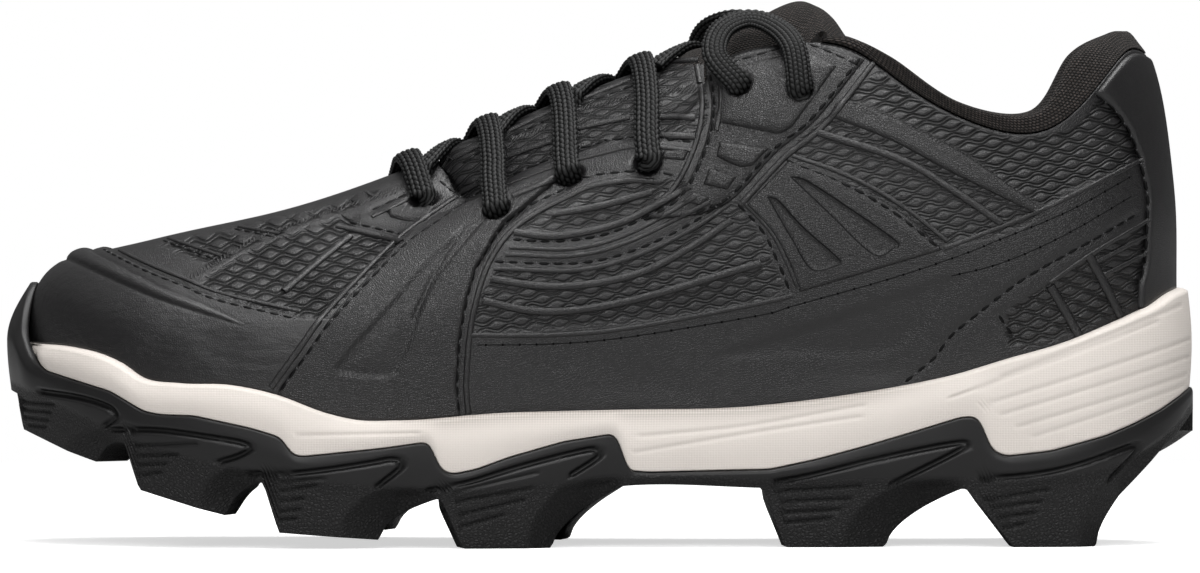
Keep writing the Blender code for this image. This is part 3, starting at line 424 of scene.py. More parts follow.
def eyelet(number, lateral):
    """Middle and outward direction of a lace hole on the upper's face."""
    x, z, forward, down = EYELETS[number]
    if not lateral:
        x, z = x - forward, z - down
    k, share = find_on_upper(lateral, x, z)
    return upper_point([k], [share])[0], upper_normal([k], [share])[0]


HOLES = {(number, lateral): eyelet(number, lateral)
         for number in range(len(EYELETS)) for lateral in (True, False)}
print("lace holes", len(HOLES))

# %% [markdown]
# ## Shaders
# Every finish is built from nodes. A small class wraps a socket, so sums and products of shader values can
# be written as ordinary Python, and one method makes any other node from its type, settings and inputs.

# %% A socket with operators, and a finish made of them
# Sockets of the colour mixing node, and the dull black painted as shade at the bottom of a groove
MIX_A, MIX_B, MIX_RESULT = 6, 7, 2
PAINTED_SHADE_BLACK = (0.001, 0.001, 0.001)


class Value:
    """A shader socket: Python's operators on it add Math nodes."""

    def __init__(self, tree, socket):
        self.tree, self.socket = tree, socket

    def maths(self, operation, *others):
        terms = dict(enumerate((self, *others)))
        node = add_node(self.tree, "ShaderNodeMath", {"operation": operation}, terms)
        return Value(self.tree, node.outputs[0])

    def __add__(self, other):
        return self.maths('ADD', other)

    def __sub__(self, other):
        return self.maths('SUBTRACT', other)

    def __rsub__(self, other):
        return (self * -1.0) + other

    def __mul__(self, other):
        return self.maths('MULTIPLY', other)

    def __truediv__(self, other):
        return self.maths('DIVIDE', other)

    __radd__ = __add__
    __rmul__ = __mul__

    def ramp(self, low, high):
        """0 below low, 1 above high, smooth between."""
        node = add_node(self.tree, "ShaderNodeMapRange", {"interpolation_type": 'SMOOTHSTEP'},
                        {"Value": self, "From Min": low, "From Max": high})
        return Value(self.tree, node.outputs["Result"])


class Finish:
    """A material, its Principled shader and the nodes that feed it."""

    def __init__(self, name, roughness, specular=0.5):
        self.material = bpy.data.materials.new(name)
        self.material.use_nodes = True
        self.tree = self.material.node_tree
        self.shader = self.tree.nodes["Principled BSDF"]
        self.set("Roughness", roughness)
        self.set("Specular IOR Level", specular)

    def set(self, name, value):
        connect(self.tree, self.shader.inputs[name], value)

    def node(self, kind, settings, inputs, output):
        return Value(self.tree, add_node(self.tree, kind, settings, inputs).outputs[output])

    def place(self):
        """Object coordinates in millimetres."""
        spot = self.node("ShaderNodeTexCoord", {}, {}, "Object")
        return self.node("ShaderNodeVectorMath", {"operation": 'SCALE'}, {0: spot, "Scale": 1000.0}, 0)

    def stretched(self, by):
        """Object coordinates in millimetres, scaled along each axis."""
        return self.node("ShaderNodeVectorMath", {"operation": 'MULTIPLY'}, {0: self.place(), 1: by}, 0)

    def mask(self, name):
        return self.node("ShaderNodeAttribute", {"attribute_name": name}, {}, "Fac")

    def form(self):
        """The piece's own run and rise in millimetres."""
        spot = self.node("ShaderNodeAttribute", {"attribute_name": "form"}, {}, "Vector")
        parts = add_node(self.tree, "ShaderNodeSeparateXYZ", {}, {0: spot})
        return Value(self.tree, parts.outputs[0]), Value(self.tree, parts.outputs[1])

    def noise(self, size, detail=2.0, spot=None):
        """Cloudy value from 0 to 1, with clouds of a size in millimetres."""
        return self.node("ShaderNodeTexNoise", {}, {"Vector": spot or self.place(), "Scale": 1.0 / size,
                                                     "Detail": detail}, 0)

    def pebbles(self, size, spot=None):
        """Distance to the edge of a pebble, in pebble sizes."""
        return self.node("ShaderNodeTexVoronoi", {"feature": 'DISTANCE_TO_EDGE'},
                         {"Vector": spot or self.place(), "Scale": 1.0 / size}, "Distance")

    def colours(self, share, low, high):
        """Base colour between two colours, by a share of the second."""
        inputs = {0: share, MIX_A: (*low, 1.0), MIX_B: (*high, 1.0)}
        self.set("Base Color", self.node("ShaderNodeMix", {"data_type": 'RGBA'}, inputs, MIX_RESULT))

    def paint_shade(self, share):
        """Mix in a dull black where the share is 1: painted shade, as at the bottom of a groove."""
        painted_shade = self.node("ShaderNodeBsdfDiffuse", {}, {"Color": (*PAINTED_SHADE_BLACK, 1.0)}, 0)
        mixed = self.node("ShaderNodeMixShader", {}, {0: share, 1: self.shader.outputs[0], 2: painted_shade}, 0)
        connect(self.tree, self.tree.nodes["Material Output"].inputs["Surface"], mixed)

    def bump(self, height, deep, under=None):
        """Normal from a height of 0 to 1 that stands for a depth in millimetres."""
        inputs = {"Height": height, "Distance": deep * MM, "Strength": 1.0}
        if under is not None:
            inputs["Normal"] = under
        made = self.node("ShaderNodeBump", {}, inputs, "Normal")
        self.set("Normal", made)
        return made


print("shader classes ready")

# %% [markdown]
# ## Materials
# The upper is one moulded synthetic skin with a fine leather grain. Its waves are grooves in two phases that
# pinch into lens-shaped cells. The overlays have no waves, and soft marks where the melt flowed.

# %% Embossed skin, overlays and tongue skin
WAVE_ROWS = 2.1
WAVE_LONG = 5.8
WAVE_SWING = 0.46
WAVE_TILT = math.radians(10.5)
WAVE_RIB = 0.4
GRAIN_SIZE, GRAIN_EDGE = 0.5, 0.3
GLOSS_SPREAD = 0.14
FLOW_STRETCH = (0.3, 0.6, 0.9)
BLACK = (0.0082, 0.0078, 0.0083)
# Black painted as shade at the bottom of the wave grooves
GROOVE_SHADE_BLACK = (0.0018, 0.0018, 0.002)


def leather(finish):
    """Height of a leather grain."""
    return finish.pebbles(GRAIN_SIZE).ramp(0.0, GRAIN_EDGE)


def uneven_gloss(finish, size, roughness):
    """Roughness that wanders about its value in clouds of a size."""
    finish.set("Roughness", finish.noise(size, 3.0) * GLOSS_SPREAD + (roughness - GLOSS_SPREAD / 2))


def wave_cells(finish):
    """Distance in millimetres to the middle of the nearest wavy rib: neighbours swing against each other."""
    u, v = finish.form()
    row = (v / WAVE_ROWS).maths('FLOOR')
    gaps = []
    for step in (0.0, 1.0):
        number = row + step
        swing = (u * (2 * math.pi / WAVE_LONG) + number * math.pi).maths('COSINE') * WAVE_SWING
        gaps.append((v - number * WAVE_ROWS - swing).maths('ABSOLUTE'))
    return gaps[0].maths('MINIMUM', gaps[1])


def embossed(name, roughness, specular):
    """Black synthetic: leather grain, and lens cells between wavy ribs where the wave mask is 1."""
    finish = Finish(name, roughness, specular)
    wave = finish.mask("wave")
    gap = wave_cells(finish)
    groove = (1.0 - (gap - WAVE_RIB).maths('ABSOLUTE').ramp(0.1, 0.34)) * wave
    pillow = gap.ramp(WAVE_RIB, 1.25) * wave
    # Painted shade darkens the wave grooves, and the cell tops are painted lighter as highlights
    finish.colours((1.0 - groove) * (pillow * 0.25 + 0.75), GROOVE_SHADE_BLACK, tuple(1.25 * c for c in BLACK))
    uneven_gloss(finish, 9.0, roughness)
    fine = finish.bump(leather(finish), 0.05)
    finish.bump((1.0 - groove) * 0.6 + pillow * 0.4, 0.6, fine)
    # More painted shade: dull black mixed into the grooves
    finish.paint_shade(groove * 0.6)
    return finish.material


SKIN = embossed("embossed_skin", 0.33, 0.54)
TONGUE_SKIN = embossed("tongue_skin", 0.36, 0.5)


def plain_skin(name, roughness, grain_deep, flow_deep):
    """Black synthetic with a leather grain and soft flow marks that run along the shoe."""
    finish = Finish(name, roughness, 0.54)
    finish.set("Base Color", (*BLACK, 1.0))
    uneven_gloss(finish, 7.0, roughness)
    flow = finish.bump(finish.noise(1.8, 3.0, finish.stretched(FLOW_STRETCH)), flow_deep)
    finish.bump(leather(finish), grain_deep, flow)
    return finish.material


OVERLAY = plain_skin("overlay_grain", 0.4, 0.085, 0.05)
TOE_SKIN = plain_skin("toe_skin", 0.36, 0.03, 0.24)
COUNTER_SKIN = plain_skin("counter_skin", 0.38, 0.03, 0.03)


def plain(name, colour, roughness, specular):
    finish = Finish(name, roughness, specular)
    finish.set("Base Color", (*colour, 1.0))
    return finish.material


# Near-black thread, darker than the skin: its own black, and painted shade of the recess it lies in
THREAD = plain("thread", (0.0016, 0.0016, 0.0018), 0.55, 0.15)
# Small beads at the stitch ends, painted pale as glints of light on the thread
STITCH_GLINT = plain("thread_end", (0.04, 0.04, 0.042), 0.35, 0.5)
# Flat dark discs on the needle holes: painted shade of the holes
NEEDLE_HOLE_SHADE = plain("needle_hole", (0.0015, 0.0015, 0.0016), 0.8, 0.05)
# Dark strips laid round the blades and along the needle holes: painted shade
SHADE_LINE = plain("deep_line", (0.003, 0.003, 0.0032), 0.6, 0.2)
print("skins", SKIN.name, TONGUE_SKIN.name, OVERLAY.name)

# %% [markdown]
# Knit is a brick pattern of yarn dots, foam a fine crossed hatching and rubber a pebble grain. The braid's
# form is modelled, so its finish only paints shade into the gaps between the strands and adds fibres.

# %% Knit, braid, foam and rubber
KNIT_WIDE, KNIT_TALL = 0.85, 0.75
KNIT_DEEP, KNIT_YARN = (0.0035, 0.0029, 0.0026), (0.075, 0.06, 0.053)
LACE_GAP_SHADE, LACE_YARN = (0.001, 0.001, 0.001), (0.0135, 0.014, 0.014)
FIBRE_STRETCH = (1.0, 1.0, 0.5)
FOAM_SHADE, FOAM_PALE = (0.16, 0.13, 0.11), (0.775, 0.718, 0.667)
HATCH_PITCH, HATCH_RUN, HATCH_RISE = 0.95, 0.75, 0.85
RUBBER_DEEP, RUBBER_BLACK = (0.0012, 0.0012, 0.0013), (0.0155, 0.0152, 0.0155)
SOCK_BLACK = (0.012, 0.012, 0.012)
knit = Finish("knit_mesh", 0.85, 0.2)
knit_u, knit_v = knit.form()
knit_row = knit_v / KNIT_TALL
knit_column = knit_u / KNIT_WIDE + (knit_row.maths('FLOOR') * 0.5).maths('FRACT')
knit_x = (knit_column.maths('FRACT') - 0.5) * KNIT_WIDE
knit_y = (knit_row.maths('FRACT') - 0.5) * KNIT_TALL
yarn = 1.0 - (knit_x * knit_x * 0.8 + knit_y * knit_y).maths('SQRT').ramp(0.1, 0.4)
specks = knit.noise(0.7, 2.0).ramp(0.35, 0.75)
knit.colours(yarn * (specks * 0.75 + 0.25), KNIT_DEEP, KNIT_YARN)
knit.set("Sheen Weight", 0.05)
knit.bump(yarn, 0.4, knit.bump(specks, 0.1))
KNIT = knit.material

braid = Finish("lace_braid", 0.55, 0.25)
crown = braid.mask("crown")
# The gaps between the strands are painted darker and mixed with dull black: painted shade
braid.colours(crown.ramp(0.1, 0.8), LACE_GAP_SHADE, LACE_YARN)
braid.paint_shade((1.0 - crown.ramp(0.0, 0.4)) * 0.85)
braid.bump(braid.noise(0.18, 1.0, braid.stretched(FIBRE_STRETCH)), 0.06)
BRAID = braid.material

foam = Finish("midsole_foam", 0.6, 0.3)
foam_clouds = foam.noise(18.0, 3.0)
foam_u, foam_v = foam.form()
weave = [((foam_u * HATCH_RUN + foam_v * slope) * (2 * math.pi / HATCH_PITCH)).maths('SINE')
         for slope in (HATCH_RISE, -HATCH_RISE)]
hatch = weave[0] * weave[1] * 0.5 + 0.5
shade = foam.mask("shade")
groove = foam.mask("groove")
# Painted shadow under the upper along the arch, and painted shade in the foam's grooves
pale = (1.0 - shade * (hatch * 0.75 + 0.25)) * (foam_clouds * 0.12 + 0.9)
foam.colours(pale * (1.0 - hatch * 0.03) * (1.0 - groove * 0.3), FOAM_SHADE, FOAM_PALE)
foam.bump(hatch, 0.03, foam.bump(foam.noise(0.5, 2.0), 0.03))
FOAM = foam.material

rubber = Finish("outsole_rubber", 0.5, 0.28)
rubber_grain = rubber.mask("grain")
rubber_shade = rubber.mask("groove")
pebble = rubber.pebbles(0.85).ramp(0.02, 0.3) * rubber_grain + (1.0 - rubber_grain)
rubber_tone = (pebble * 0.6 + 0.4) * (rubber.noise(12.0) * 0.3 + 0.7) * (rubber_grain * 0.7 + 1.0)
# Painted shade: darker in the hooked grooves, the lines across the studs and the hollows behind the ridges
rubber.colours(rubber_tone * (1.0 - rubber_shade), RUBBER_DEEP, RUBBER_BLACK)
rubber.set("Roughness", rubber_grain * 0.16 + rubber.noise(5.0, 3.0) * 0.12 + 0.32)
rubber.bump(pebble, 0.14)
RUBBER = rubber.material

sock = Finish("insole_fabric", 0.9, 0.2)
sock.set("Base Color", (*SOCK_BLACK, 1.0))
sock.bump(sock.noise(0.6, 2.0), 0.15)
SOCK = sock.material
print("materials", len(bpy.data.materials))

# %% [markdown]
# ## Mesh helpers
# Most pieces are grids of points swept round or along the shoe. One helper turns a grid into faces, and
# others make the mesh, turn its faces outward and hand it to the frame.


# %% Grids into pieces
def grid_faces(rows, columns, close_rows=False, close_columns=False):
    """Quads of a grid whose points are numbered row by row."""
    i = np.arange(rows if close_rows else rows - 1)[:, None]
    j = np.arange(columns if close_columns else columns - 1)[None, :]
    ahead, beside = (i + 1) % rows, (j + 1) % columns
    return np.stack((i * columns + j, ahead * columns + j, ahead * columns + beside, i * columns + beside),
                    axis=-1).reshape(-1, 4)


def ladder_faces(first, around):
    """Cap of a loop that starts at the heel: rungs run from the lateral side to the medial side."""
    i = np.arange(1, around // 2 - 1)
    rungs = np.stack((first + i, first + i + 1, first + around - i - 1, first + around - i), axis=-1)
    half = first + around // 2
    ends = np.array(((first, first + 1, first + around - 1), (half - 1, half, half + 1)))
    return [rungs, ends]


def add_layer(mesh, key, value):
    """Store a number or a vector for each point of a mesh."""
    kind, field = ('FLOAT_VECTOR', "vector") if np.ndim(value) == 2 else ('FLOAT', "value")
    layer = mesh.attributes.new(key, kind, 'POINT')
    layer.data.foreach_set(field, np.ascontiguousarray(value, np.float32).ravel())


def place_piece(name, mesh, node=None):
    """Put a mesh in the scene as a piece that rides on the shoe, in place of a node where one is named."""
    mesh.shade_smooth()
    piece = bpy.data.objects.new(name, mesh)
    scene.collection.objects.link(piece)
    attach(piece, "root")
    if node:
        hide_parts(node)
    print(f"{name}: {len(mesh.vertices)} points, {len(mesh.polygons)} faces")
    return piece


def make_piece(name, points, faces, made_of, node, slot, values=None):
    """Piece from points in millimetres, with its faces turned outward and values stored for each point."""
    mesh = bpy.data.meshes.new(name)
    used = np.concatenate([block.ravel() for block in faces]).astype(np.int32)
    sizes = np.concatenate([np.full(len(block), block.shape[1]) for block in faces])
    mesh.vertices.add(len(points))
    mesh.vertices.foreach_set("co", (np.asarray(points) * MM).astype(np.float32).ravel())
    mesh.loops.add(len(used))
    mesh.loops.foreach_set("vertex_index", used)
    mesh.polygons.add(len(sizes))
    mesh.polygons.foreach_set("loop_start", (np.cumsum(sizes) - sizes).astype(np.int32))
    mesh.update(calc_edges=True)
    work = bmesh.new()
    work.from_mesh(mesh)
    bmesh.ops.recalc_face_normals(work, faces=work.faces)
    work.to_mesh(mesh)
    work.free()
    for key, value in (values or {}).items():
        add_layer(mesh, key, value)
    mesh.materials.append(made_of)
    return place_piece(name, mesh, node)


def form_of(u, v):
    return np.column_stack((u.ravel(), v.ravel(), np.zeros(u.size)))


def run_of(spots, axis=0):
    """Distance run along a row of points."""
    steps = np.linalg.norm(np.diff(spots, axis=axis), axis=-1)
    first = np.zeros_like(np.take(steps, [0], axis=axis))
    return np.cumsum(np.concatenate((first, steps), axis=axis), axis=axis)


def evened(spots, count):
    """A line of points read at even distances."""
    run = run_of(spots)
    even = np.linspace(0, run[-1], count)
    return np.column_stack([np.interp(even, run, spots[:, c]) for c in range(spots.shape[1])])


print("helpers ready")

# %% [markdown]
# ## Seams read off the photo
# Panels, ribs and stitch lines are drawn on the side view in the photo's own pixels. The inner side of the
# shoe does not show and gets the same lines mirrored.

# %% Panels, ribs and stitch lines
SEAM_A = ((279, 389), (306, 352), (329, 320), (364, 282), (405, 241), (435, 220), (464, 200), (482, 188))
SEAM_B = ((460, 411), (458, 382), (461, 335), (467, 302), (476, 270), (490, 244), (505, 223), (531, 204),
          (563, 189), (583, 177), (624, 171), (660, 172), (681, 177))
STRAP_LEFT = ((705, 65), (711, 101), (707, 134), (693, 171), (675, 198), (644, 218))
STRAP_RIGHT = ((864, 60), (815, 120), (776, 152), (734, 197), (700, 214))
STRAP_TOP = ((705, 70), (760, 58), (796, 50), (812, 50), (835, 57), (861, 65))
STRAP_FOOT = ((644, 218), (672, 217), (700, 214))
COUNTER_SEAM = ((1094, 94), (1114, 110), (1128, 130), (1138, 154), (1145, 182), (1148, 200), (1147, 226),
                (1145, 260), (1139, 287))
# Panels of the shell: level in millimetres, soft edge, strength of the waves there, corners
PANELS = {
    "vamp_low": (-0.3, 0.7, 1.0, ((196, 283), (250, 249), (300, 230), (345, 214), (352, 226), (398, 242),
                                  (362, 276), (326, 314), (306, 312), (255, 303))),
    "vamp_high": (-0.25, 0.7, 0.9, ((162, 244), (214, 262), (236, 248), (262, 240), (210, 233))),
    "vamp_back": (-0.25, 0.7, 0.9, ((238, 227), (310, 212), (368, 192), (372, 198), (300, 222), (278, 234))),
    "leaf": (0.35, 0.9, 0.0, ((370, 211), (407, 194), (440, 178), (465, 196), (432, 219), (408, 236),
                              (353, 220))),
    "throat_front": (-0.2, 0.7, 0.6, ((444, 176), (470, 148), (500, 136), (506, 158), (484, 182),
                                      (462, 192))),
    "throat": (-0.2, 0.7, 0.6, ((508, 168), (512, 140), (560, 118), (630, 94), (699, 84), (699, 134),
                                (640, 137), (581, 147))),
    "oval": (-0.35, 0.7, 0.6, ((516, 226), (540, 206), (566, 195), (590, 184), (624, 178), (668, 180),
                               (688, 182), (651, 203), (613, 220), (556, 230))),
    "midfoot": (-0.3, 0.7, 0.6, ((500, 266), (575, 268), (632, 256), (690, 230), (731, 202), (757, 232),
                                 (771, 262), (778, 292), (700, 310), (632, 320), (556, 326), (474, 327))),
    "quarter": (-0.3, 0.7, 1.0, ((880, 72), (920, 103), (977, 130), (1021, 139), (1075, 127), (1102, 98),
                                 (1126, 122), (1140, 156), (1066, 190), (1040, 203), (960, 150),
                                 (900, 119), (868, 104), (848, 98))),
    "quarter_low": (-0.3, 0.7, 0.6, ((828, 116), (890, 140), (950, 172), (1034, 215), (944, 243),
                                     (903, 212), (834, 172), (790, 154), (810, 132))),
    "heel_low": (-0.3, 0.7, 0.65, ((1006, 310), (1052, 282), (1092, 255), (1147, 224), (1146, 262),
                                   (1140, 300), (1065, 335), (1012, 346))),
    "side_dip": (-0.4, 1.6, 0.0, ((717, 356), (796, 330), (891, 297), (956, 275), (944, 300), (887, 350),
                                  (800, 354))),
}
# Soft troughs where the shoe bends: width, depth, path
TROUGHS = (
    (6.0, 0.5, ((205, 236), (255, 262), (300, 300))),
    (7.0, 0.45, ((330, 206), (372, 238), (388, 262))),
    (8.0, 0.4, ((690, 330), (780, 345), (880, 368))),
    (5.0, 0.35, ((560, 352), (640, 380), (700, 400))),
)
# Raised ribs: width in millimetres, path
BEAD, BAR = 1.1, 1.8
RIBS = (
    (BEAD, ((106, 246), (150, 265), (187, 279), (222, 292), (302, 310))),
    (BEAD, ((167, 239), (222, 256))),
    (BEAD, ((238, 227), (280, 234))),
    (1.5, ((273, 385), (300, 348), (323, 316), (358, 278), (399, 237), (429, 215), (459, 195), (477, 184))),
    (1.4, ((469, 411), (467, 382), (470, 336), (476, 303), (485, 272), (498, 247), (514, 228), (538, 211),
           (566, 197), (590, 186), (626, 180), (660, 181))),
    (BAR, ((337, 226), (402, 241))),
    (BEAD, ((372, 217), (410, 199))),
    (BAR, ((552, 213), (600, 205), (651, 191))),
    (BAR, ((515, 231), (556, 235), (613, 224), (651, 207), (690, 185))),
    (BEAD, ((510, 246), (575, 247), (632, 231), (695, 196))),
    (BEAD, ((506, 253), (575, 254), (632, 239), (709, 201))),
    (BEAD, ((494, 267), (575, 269), (632, 256), (690, 229), (729, 203))),
    (BAR, ((491, 277), (538, 284), (587, 283), (641, 271), (690, 246), (731, 219))),
    (BAR, ((484, 299), (532, 309), (580, 308), (647, 295), (760, 262))),
    (BEAD, ((471, 333), (556, 333), (632, 326), (760, 302), (792, 294))),
    (BEAD, ((508, 184), (556, 166), (600, 154), (640, 146), (694, 150))),
    (BAR, ((513, 195), (545, 182), (575, 169))),
    (1.3, ((697, 66), (702, 101), (698, 134), (684, 170), (667, 194), (640, 211))),
    (1.3, ((719, 70), (720, 101), (716, 130))),
    (1.5, ((873, 63), (824, 124), (784, 157), (742, 202))),
    (BEAD, ((745, 203), (770, 230), (785, 258), (798, 288))),
    (BEAD, ((792, 155), (840, 172), (875, 189), (911, 212), (946, 240))),
    (BAR, ((818, 132), (900, 159), (950, 188), (1000, 222))),
    (BEAD, ((944, 247), (1022, 217), (1072, 194), (1143, 159))),
    (BEAD, ((1049, 282), (1091, 253), (1149, 220))),
    (2.2, ((1087, 254), (1104, 284), (1120, 316))),
    (2.2, ((1049, 285), (1064, 310), (1078, 335))),
    (BEAD, ((1094, 262), (1146, 236))),
    (BEAD, ((1100, 276), (1146, 254))),
    (2.2, ((285, 290), (318, 262), (350, 236))),
    (BAR, ((455, 158), (486, 142), (520, 126), (545, 114), (590, 96), (630, 80))),
    (BAR, ((575, 129), (602, 123), (630, 117))),
    (BAR, ((506, 157), (528, 149), (552, 141))),
    (BAR, ((661, 117), (695, 117))),
    (BAR, ((661, 135), (695, 136))),
    (BAR, ((659, 67), (677, 62), (699, 60))),
)
# Straps with fine slanted ticks: length of a tick, path
TICKED = (
    (2.9, ((187, 279), (250, 242), (300, 222), (357, 203), (398, 191))),
    (1.7, ((838, 102), (868, 107), (900, 121), (960, 152), (1010, 186))),
    (3.0, ((658, 91), (699, 89))),
    (2.6, ((575, 111), (602, 104), (629, 98))),
    (2.6, ((510, 141), (530, 134), (546, 127))),
)
# Needle holes, on the lowest seam of the side
NEEDLE_HOLES = (
    ((478, 343), (556, 342), (632, 335), (760, 314), (792, 305), (891, 277), (960, 254), (1000, 238),
     (1066, 211), (1131, 176)),
    ((950, 275), (1000, 262), (1060, 236), (1131, 196)),
)
# Stitch lines
STITCHES = (
    ((101, 250), (147, 271), (184, 285), (220, 299), (300, 317)),
    ((161, 241), (218, 260)),
    ((232, 229), (275, 237)),
    tuple((x + 2, y + 1) for x, y in SEAM_A),
    SEAM_B,
    ((370, 211), (407, 194)),
    ((348, 222), (408, 235)),
    ((438, 180), (461, 198)),
    ((511, 175), (554, 157), (581, 148), (632, 137), (697, 142)),
    ((460, 165), (486, 149), (520, 133), (545, 121), (590, 102), (630, 87)),
    ((712, 68), (760, 54), (796, 44), (812, 45), (835, 54), (856, 64)),
    ((509, 238), (560, 240), (613, 231), (670, 203)),
    ((492, 260), (575, 262), (632, 250), (690, 223), (728, 197)),
    tuple((x - 4, y - 2) for x, y in STRAP_RIGHT),
    ((736, 202), (761, 229), (776, 258), (790, 292)),
    ((784, 159), (834, 179), (868, 196), (903, 219), (941, 250)),
    ((903, 382), (933, 357), (950, 335), (980, 310), (1026, 276), (1087, 242), (1135, 215)),
    ((996, 312), (1015, 340)),
    tuple((x + 3, y) for x, y in STRAP_LEFT),
    COUNTER_SEAM,
)
# Smooth bands and pads laid on the skins: height, edge, lower line, upper line
PADS = {
    "quarter_band": (0.45, 0.8, ((828, 116), (890, 140), (950, 172), (1036, 214)),
                     ((836, 101), (868, 106), (900, 120), (960, 151), (1041, 208))),
    "eyelet_pillow": (1.3, 4.5, ((719, 122), (764, 131), (779, 133), (792, 126)),
                      ((720, 71), (770, 58), (806, 52), (836, 66))),
    "strap_pad_1": (0.85, 1.7, ((716, 156), (738, 166), (752, 165)), ((719, 141), (745, 144), (768, 148))),
    "strap_pad_2": (0.8, 1.5, ((703, 184), (727, 189)), ((709, 167), (736, 176))),
    "strap_pad_3": (0.6, 1.1, ((682, 200), (700, 205)), ((693, 191), (709, 197))),
    "eyelet_bar": (0.45, 0.7, ((661, 158), (684, 160)), ((664, 150), (689, 149))),
    "leaf_pad": (0.6, 0.9, ((390, 217), (406, 221), (424, 221)), ((386, 209), (410, 206), (437, 206))),
}
# Fan-shaped panel at the middle of the side: lower line, upper line, and its two sunk blades
FAN = (((746, 204), (771, 231), (787, 260), (799, 291)),
       ((788, 160), (834, 178), (873, 195), (909, 218), (941, 249)))
BLADES = (((767, 196), (778, 200), (802, 226), (838, 258), (836, 264), (811, 268), (790, 236)),
          ((790, 176), (806, 180), (845, 205), (895, 240), (893, 247), (872, 253), (830, 214)))


def smooth_path(points, step=0.9):
    """Path through pixels of the photo, evened out, as x and z in millimetres."""
    spots = side(points)
    if len(spots) > 2:
        spots = smooth_rows(spots, np.linspace(0, len(spots) - 1, 16 * len(spots)))
    return evened(spots, max(2, int(run_of(spots)[-1] / step) + 1))


def distance_to(path, x, z, reach):
    """Distance from points of the side view to a path, or the reach where it is farther."""
    found = np.full(x.shape, float(reach))
    low, high = path.min(axis=0) - reach, path.max(axis=0) + reach
    near = (x > low[0]) & (x < high[0]) & (z > low[1]) & (z < high[1])
    spots = np.column_stack((x[near], z[near]))
    best = np.full(len(spots), float(reach))
    for a, b in zip(path[:-1], path[1:]):
        t = np.clip((spots - a) @ (b - a) / ((b - a) @ (b - a)), 0, 1)
        best = np.minimum(best, np.linalg.norm(spots - a - t[:, None] * (b - a), axis=1))
    found[near] = best
    return found


def depth_in(corners, x, z, reach):
    """Distance into a panel of the side view, negative outside it."""
    path = smooth_path((*corners, corners[0]), 2.0)
    gap = distance_to(path, x, z, reach)
    within = np.zeros(x.shape, bool)
    for a, b in zip(path[:-1], path[1:]):
        rising = (a[1] > z) != (b[1] > z)
        within ^= rising & (x < a[0] + (z - a[1]) * (b[0] - a[0]) / (b[1] - a[1] + 1e-12))
    return np.where(within, gap, -gap)


def soft(depth, width):
    t = np.clip(depth / width * 0.5 + 0.5, 0, 1)
    return t * t * (3 - 2 * t)


print(len(PANELS), "panels,", len(RIBS), "ribs,", len(STITCHES), "stitch lines")

# %% [markdown]
# ## Upper
# The shell is one hollow moulding with a wall of 2 mm. Its outer face is a dense grid, so that panels can
# rise and sink by a few tenths of a millimetre and the creases of the vamp can be pressed in as soft
# troughs.

# %% Upper shell
LATERAL_COLUMNS = 480
MEDIAL_COLUMNS = 150
OUTER_ROWS = 96
INNER_ROWS = 8
HOLE_DIP = 2.0
HOLE_RADIUS = 2.9
HOLE_SOFT = 0.8
PANEL_REACH = 6.0
STITCH_SINK, STITCH_BED = 0.3, 0.8
FACING_LOW, FACING_FULL = 0.1, 0.32
NORMAL_ROUNDS = 80
FOOT_FADE, TOP_FADE, TOP_KEPT = 0.05, 0.03, 0.3


def even_ribs(first, last, count):
    """Rib numbers that stand at even distances round the shell."""
    dense = np.linspace(first, last, 2001)
    run = run_of(upper_point(dense, 0.4))
    return np.interp(np.linspace(0, run[-1], count, endpoint=False), run, dense)


def shell_relief(x, z):
    """Height of the moulded relief and strength of the waves at points of the side view."""
    height, wave = np.zeros(x.shape), np.zeros(x.shape)
    for level, edge, strength, corners in PANELS.values():
        inside = soft(depth_in(corners, x, z, PANEL_REACH), edge)
        height += level * inside
        wave = np.maximum(wave, strength * inside) if strength else wave * (1 - inside)
    for width, deep, path in TROUGHS:
        height -= deep * np.exp(-(distance_to(smooth_path(path, 3.0), x, z, 3 * width) / width) ** 2)
    for path in STITCHES:
        height -= STITCH_SINK * np.exp(-(distance_to(smooth_path(path, 2.0), x, z, 3.0) / STITCH_BED) ** 2)
    return height, wave


def wave_form(x, rise):
    """Run and rise of the waves, whose rows climb a little towards the heel."""
    return form_of(x * math.cos(WAVE_TILT) + rise * math.sin(WAVE_TILT),
                   rise * math.cos(WAVE_TILT) - x * math.sin(WAVE_TILT))


def eased(field, rounds):
    """Field round the shell with each value drawn to the mean of its neighbours."""
    for _ in range(rounds):
        field = (np.roll(field, 1, axis=1) + np.roll(field, -1, axis=1) + 2 * field) / 4
    return field


ribs = np.concatenate((even_ribs(0, HALF, LATERAL_COLUMNS), even_ribs(HALF, ROUND, MEDIAL_COLUMNS)))
shares = np.linspace(0, 1, OUTER_ROWS)
face = upper_point(ribs[None, :], shares[:, None])
face_out = unit(eased(upper_normal(ribs[None, :], shares[:, None]), NORMAL_ROUNDS))
height, wave = shell_relief(face[..., 0], face[..., 2])
facing = np.clip((np.abs(face_out[..., 1]) - FACING_LOW) / (FACING_FULL - FACING_LOW), 0, 1)
height, wave = height * facing, wave * facing
height *= np.clip(shares / FOOT_FADE, 0, 1)[:, None] * np.clip((1 - shares) / TOP_FADE, TOP_KEPT, 1)[:, None]
for hole, _ in HOLES.values():
    height -= HOLE_DIP * soft(HOLE_RADIUS - np.linalg.norm(face - hole, axis=-1), HOLE_SOFT)
outer = face + face_out * height[..., None]
inner_shares = np.linspace(1, 0, INNER_ROWS)
inner = upper_point(ribs[None, :], inner_shares[:, None])
inner -= upper_normal(ribs[None, :], inner_shares[:, None]) * UPPER_WALL
foot_z = curve(BED, outline(ribs)[0][:, 0]) + GAP
foot_out, foot_in = face[0].copy(), inner[-1].copy()
foot_out[:, 2], foot_in[:, 2] = foot_z, foot_z
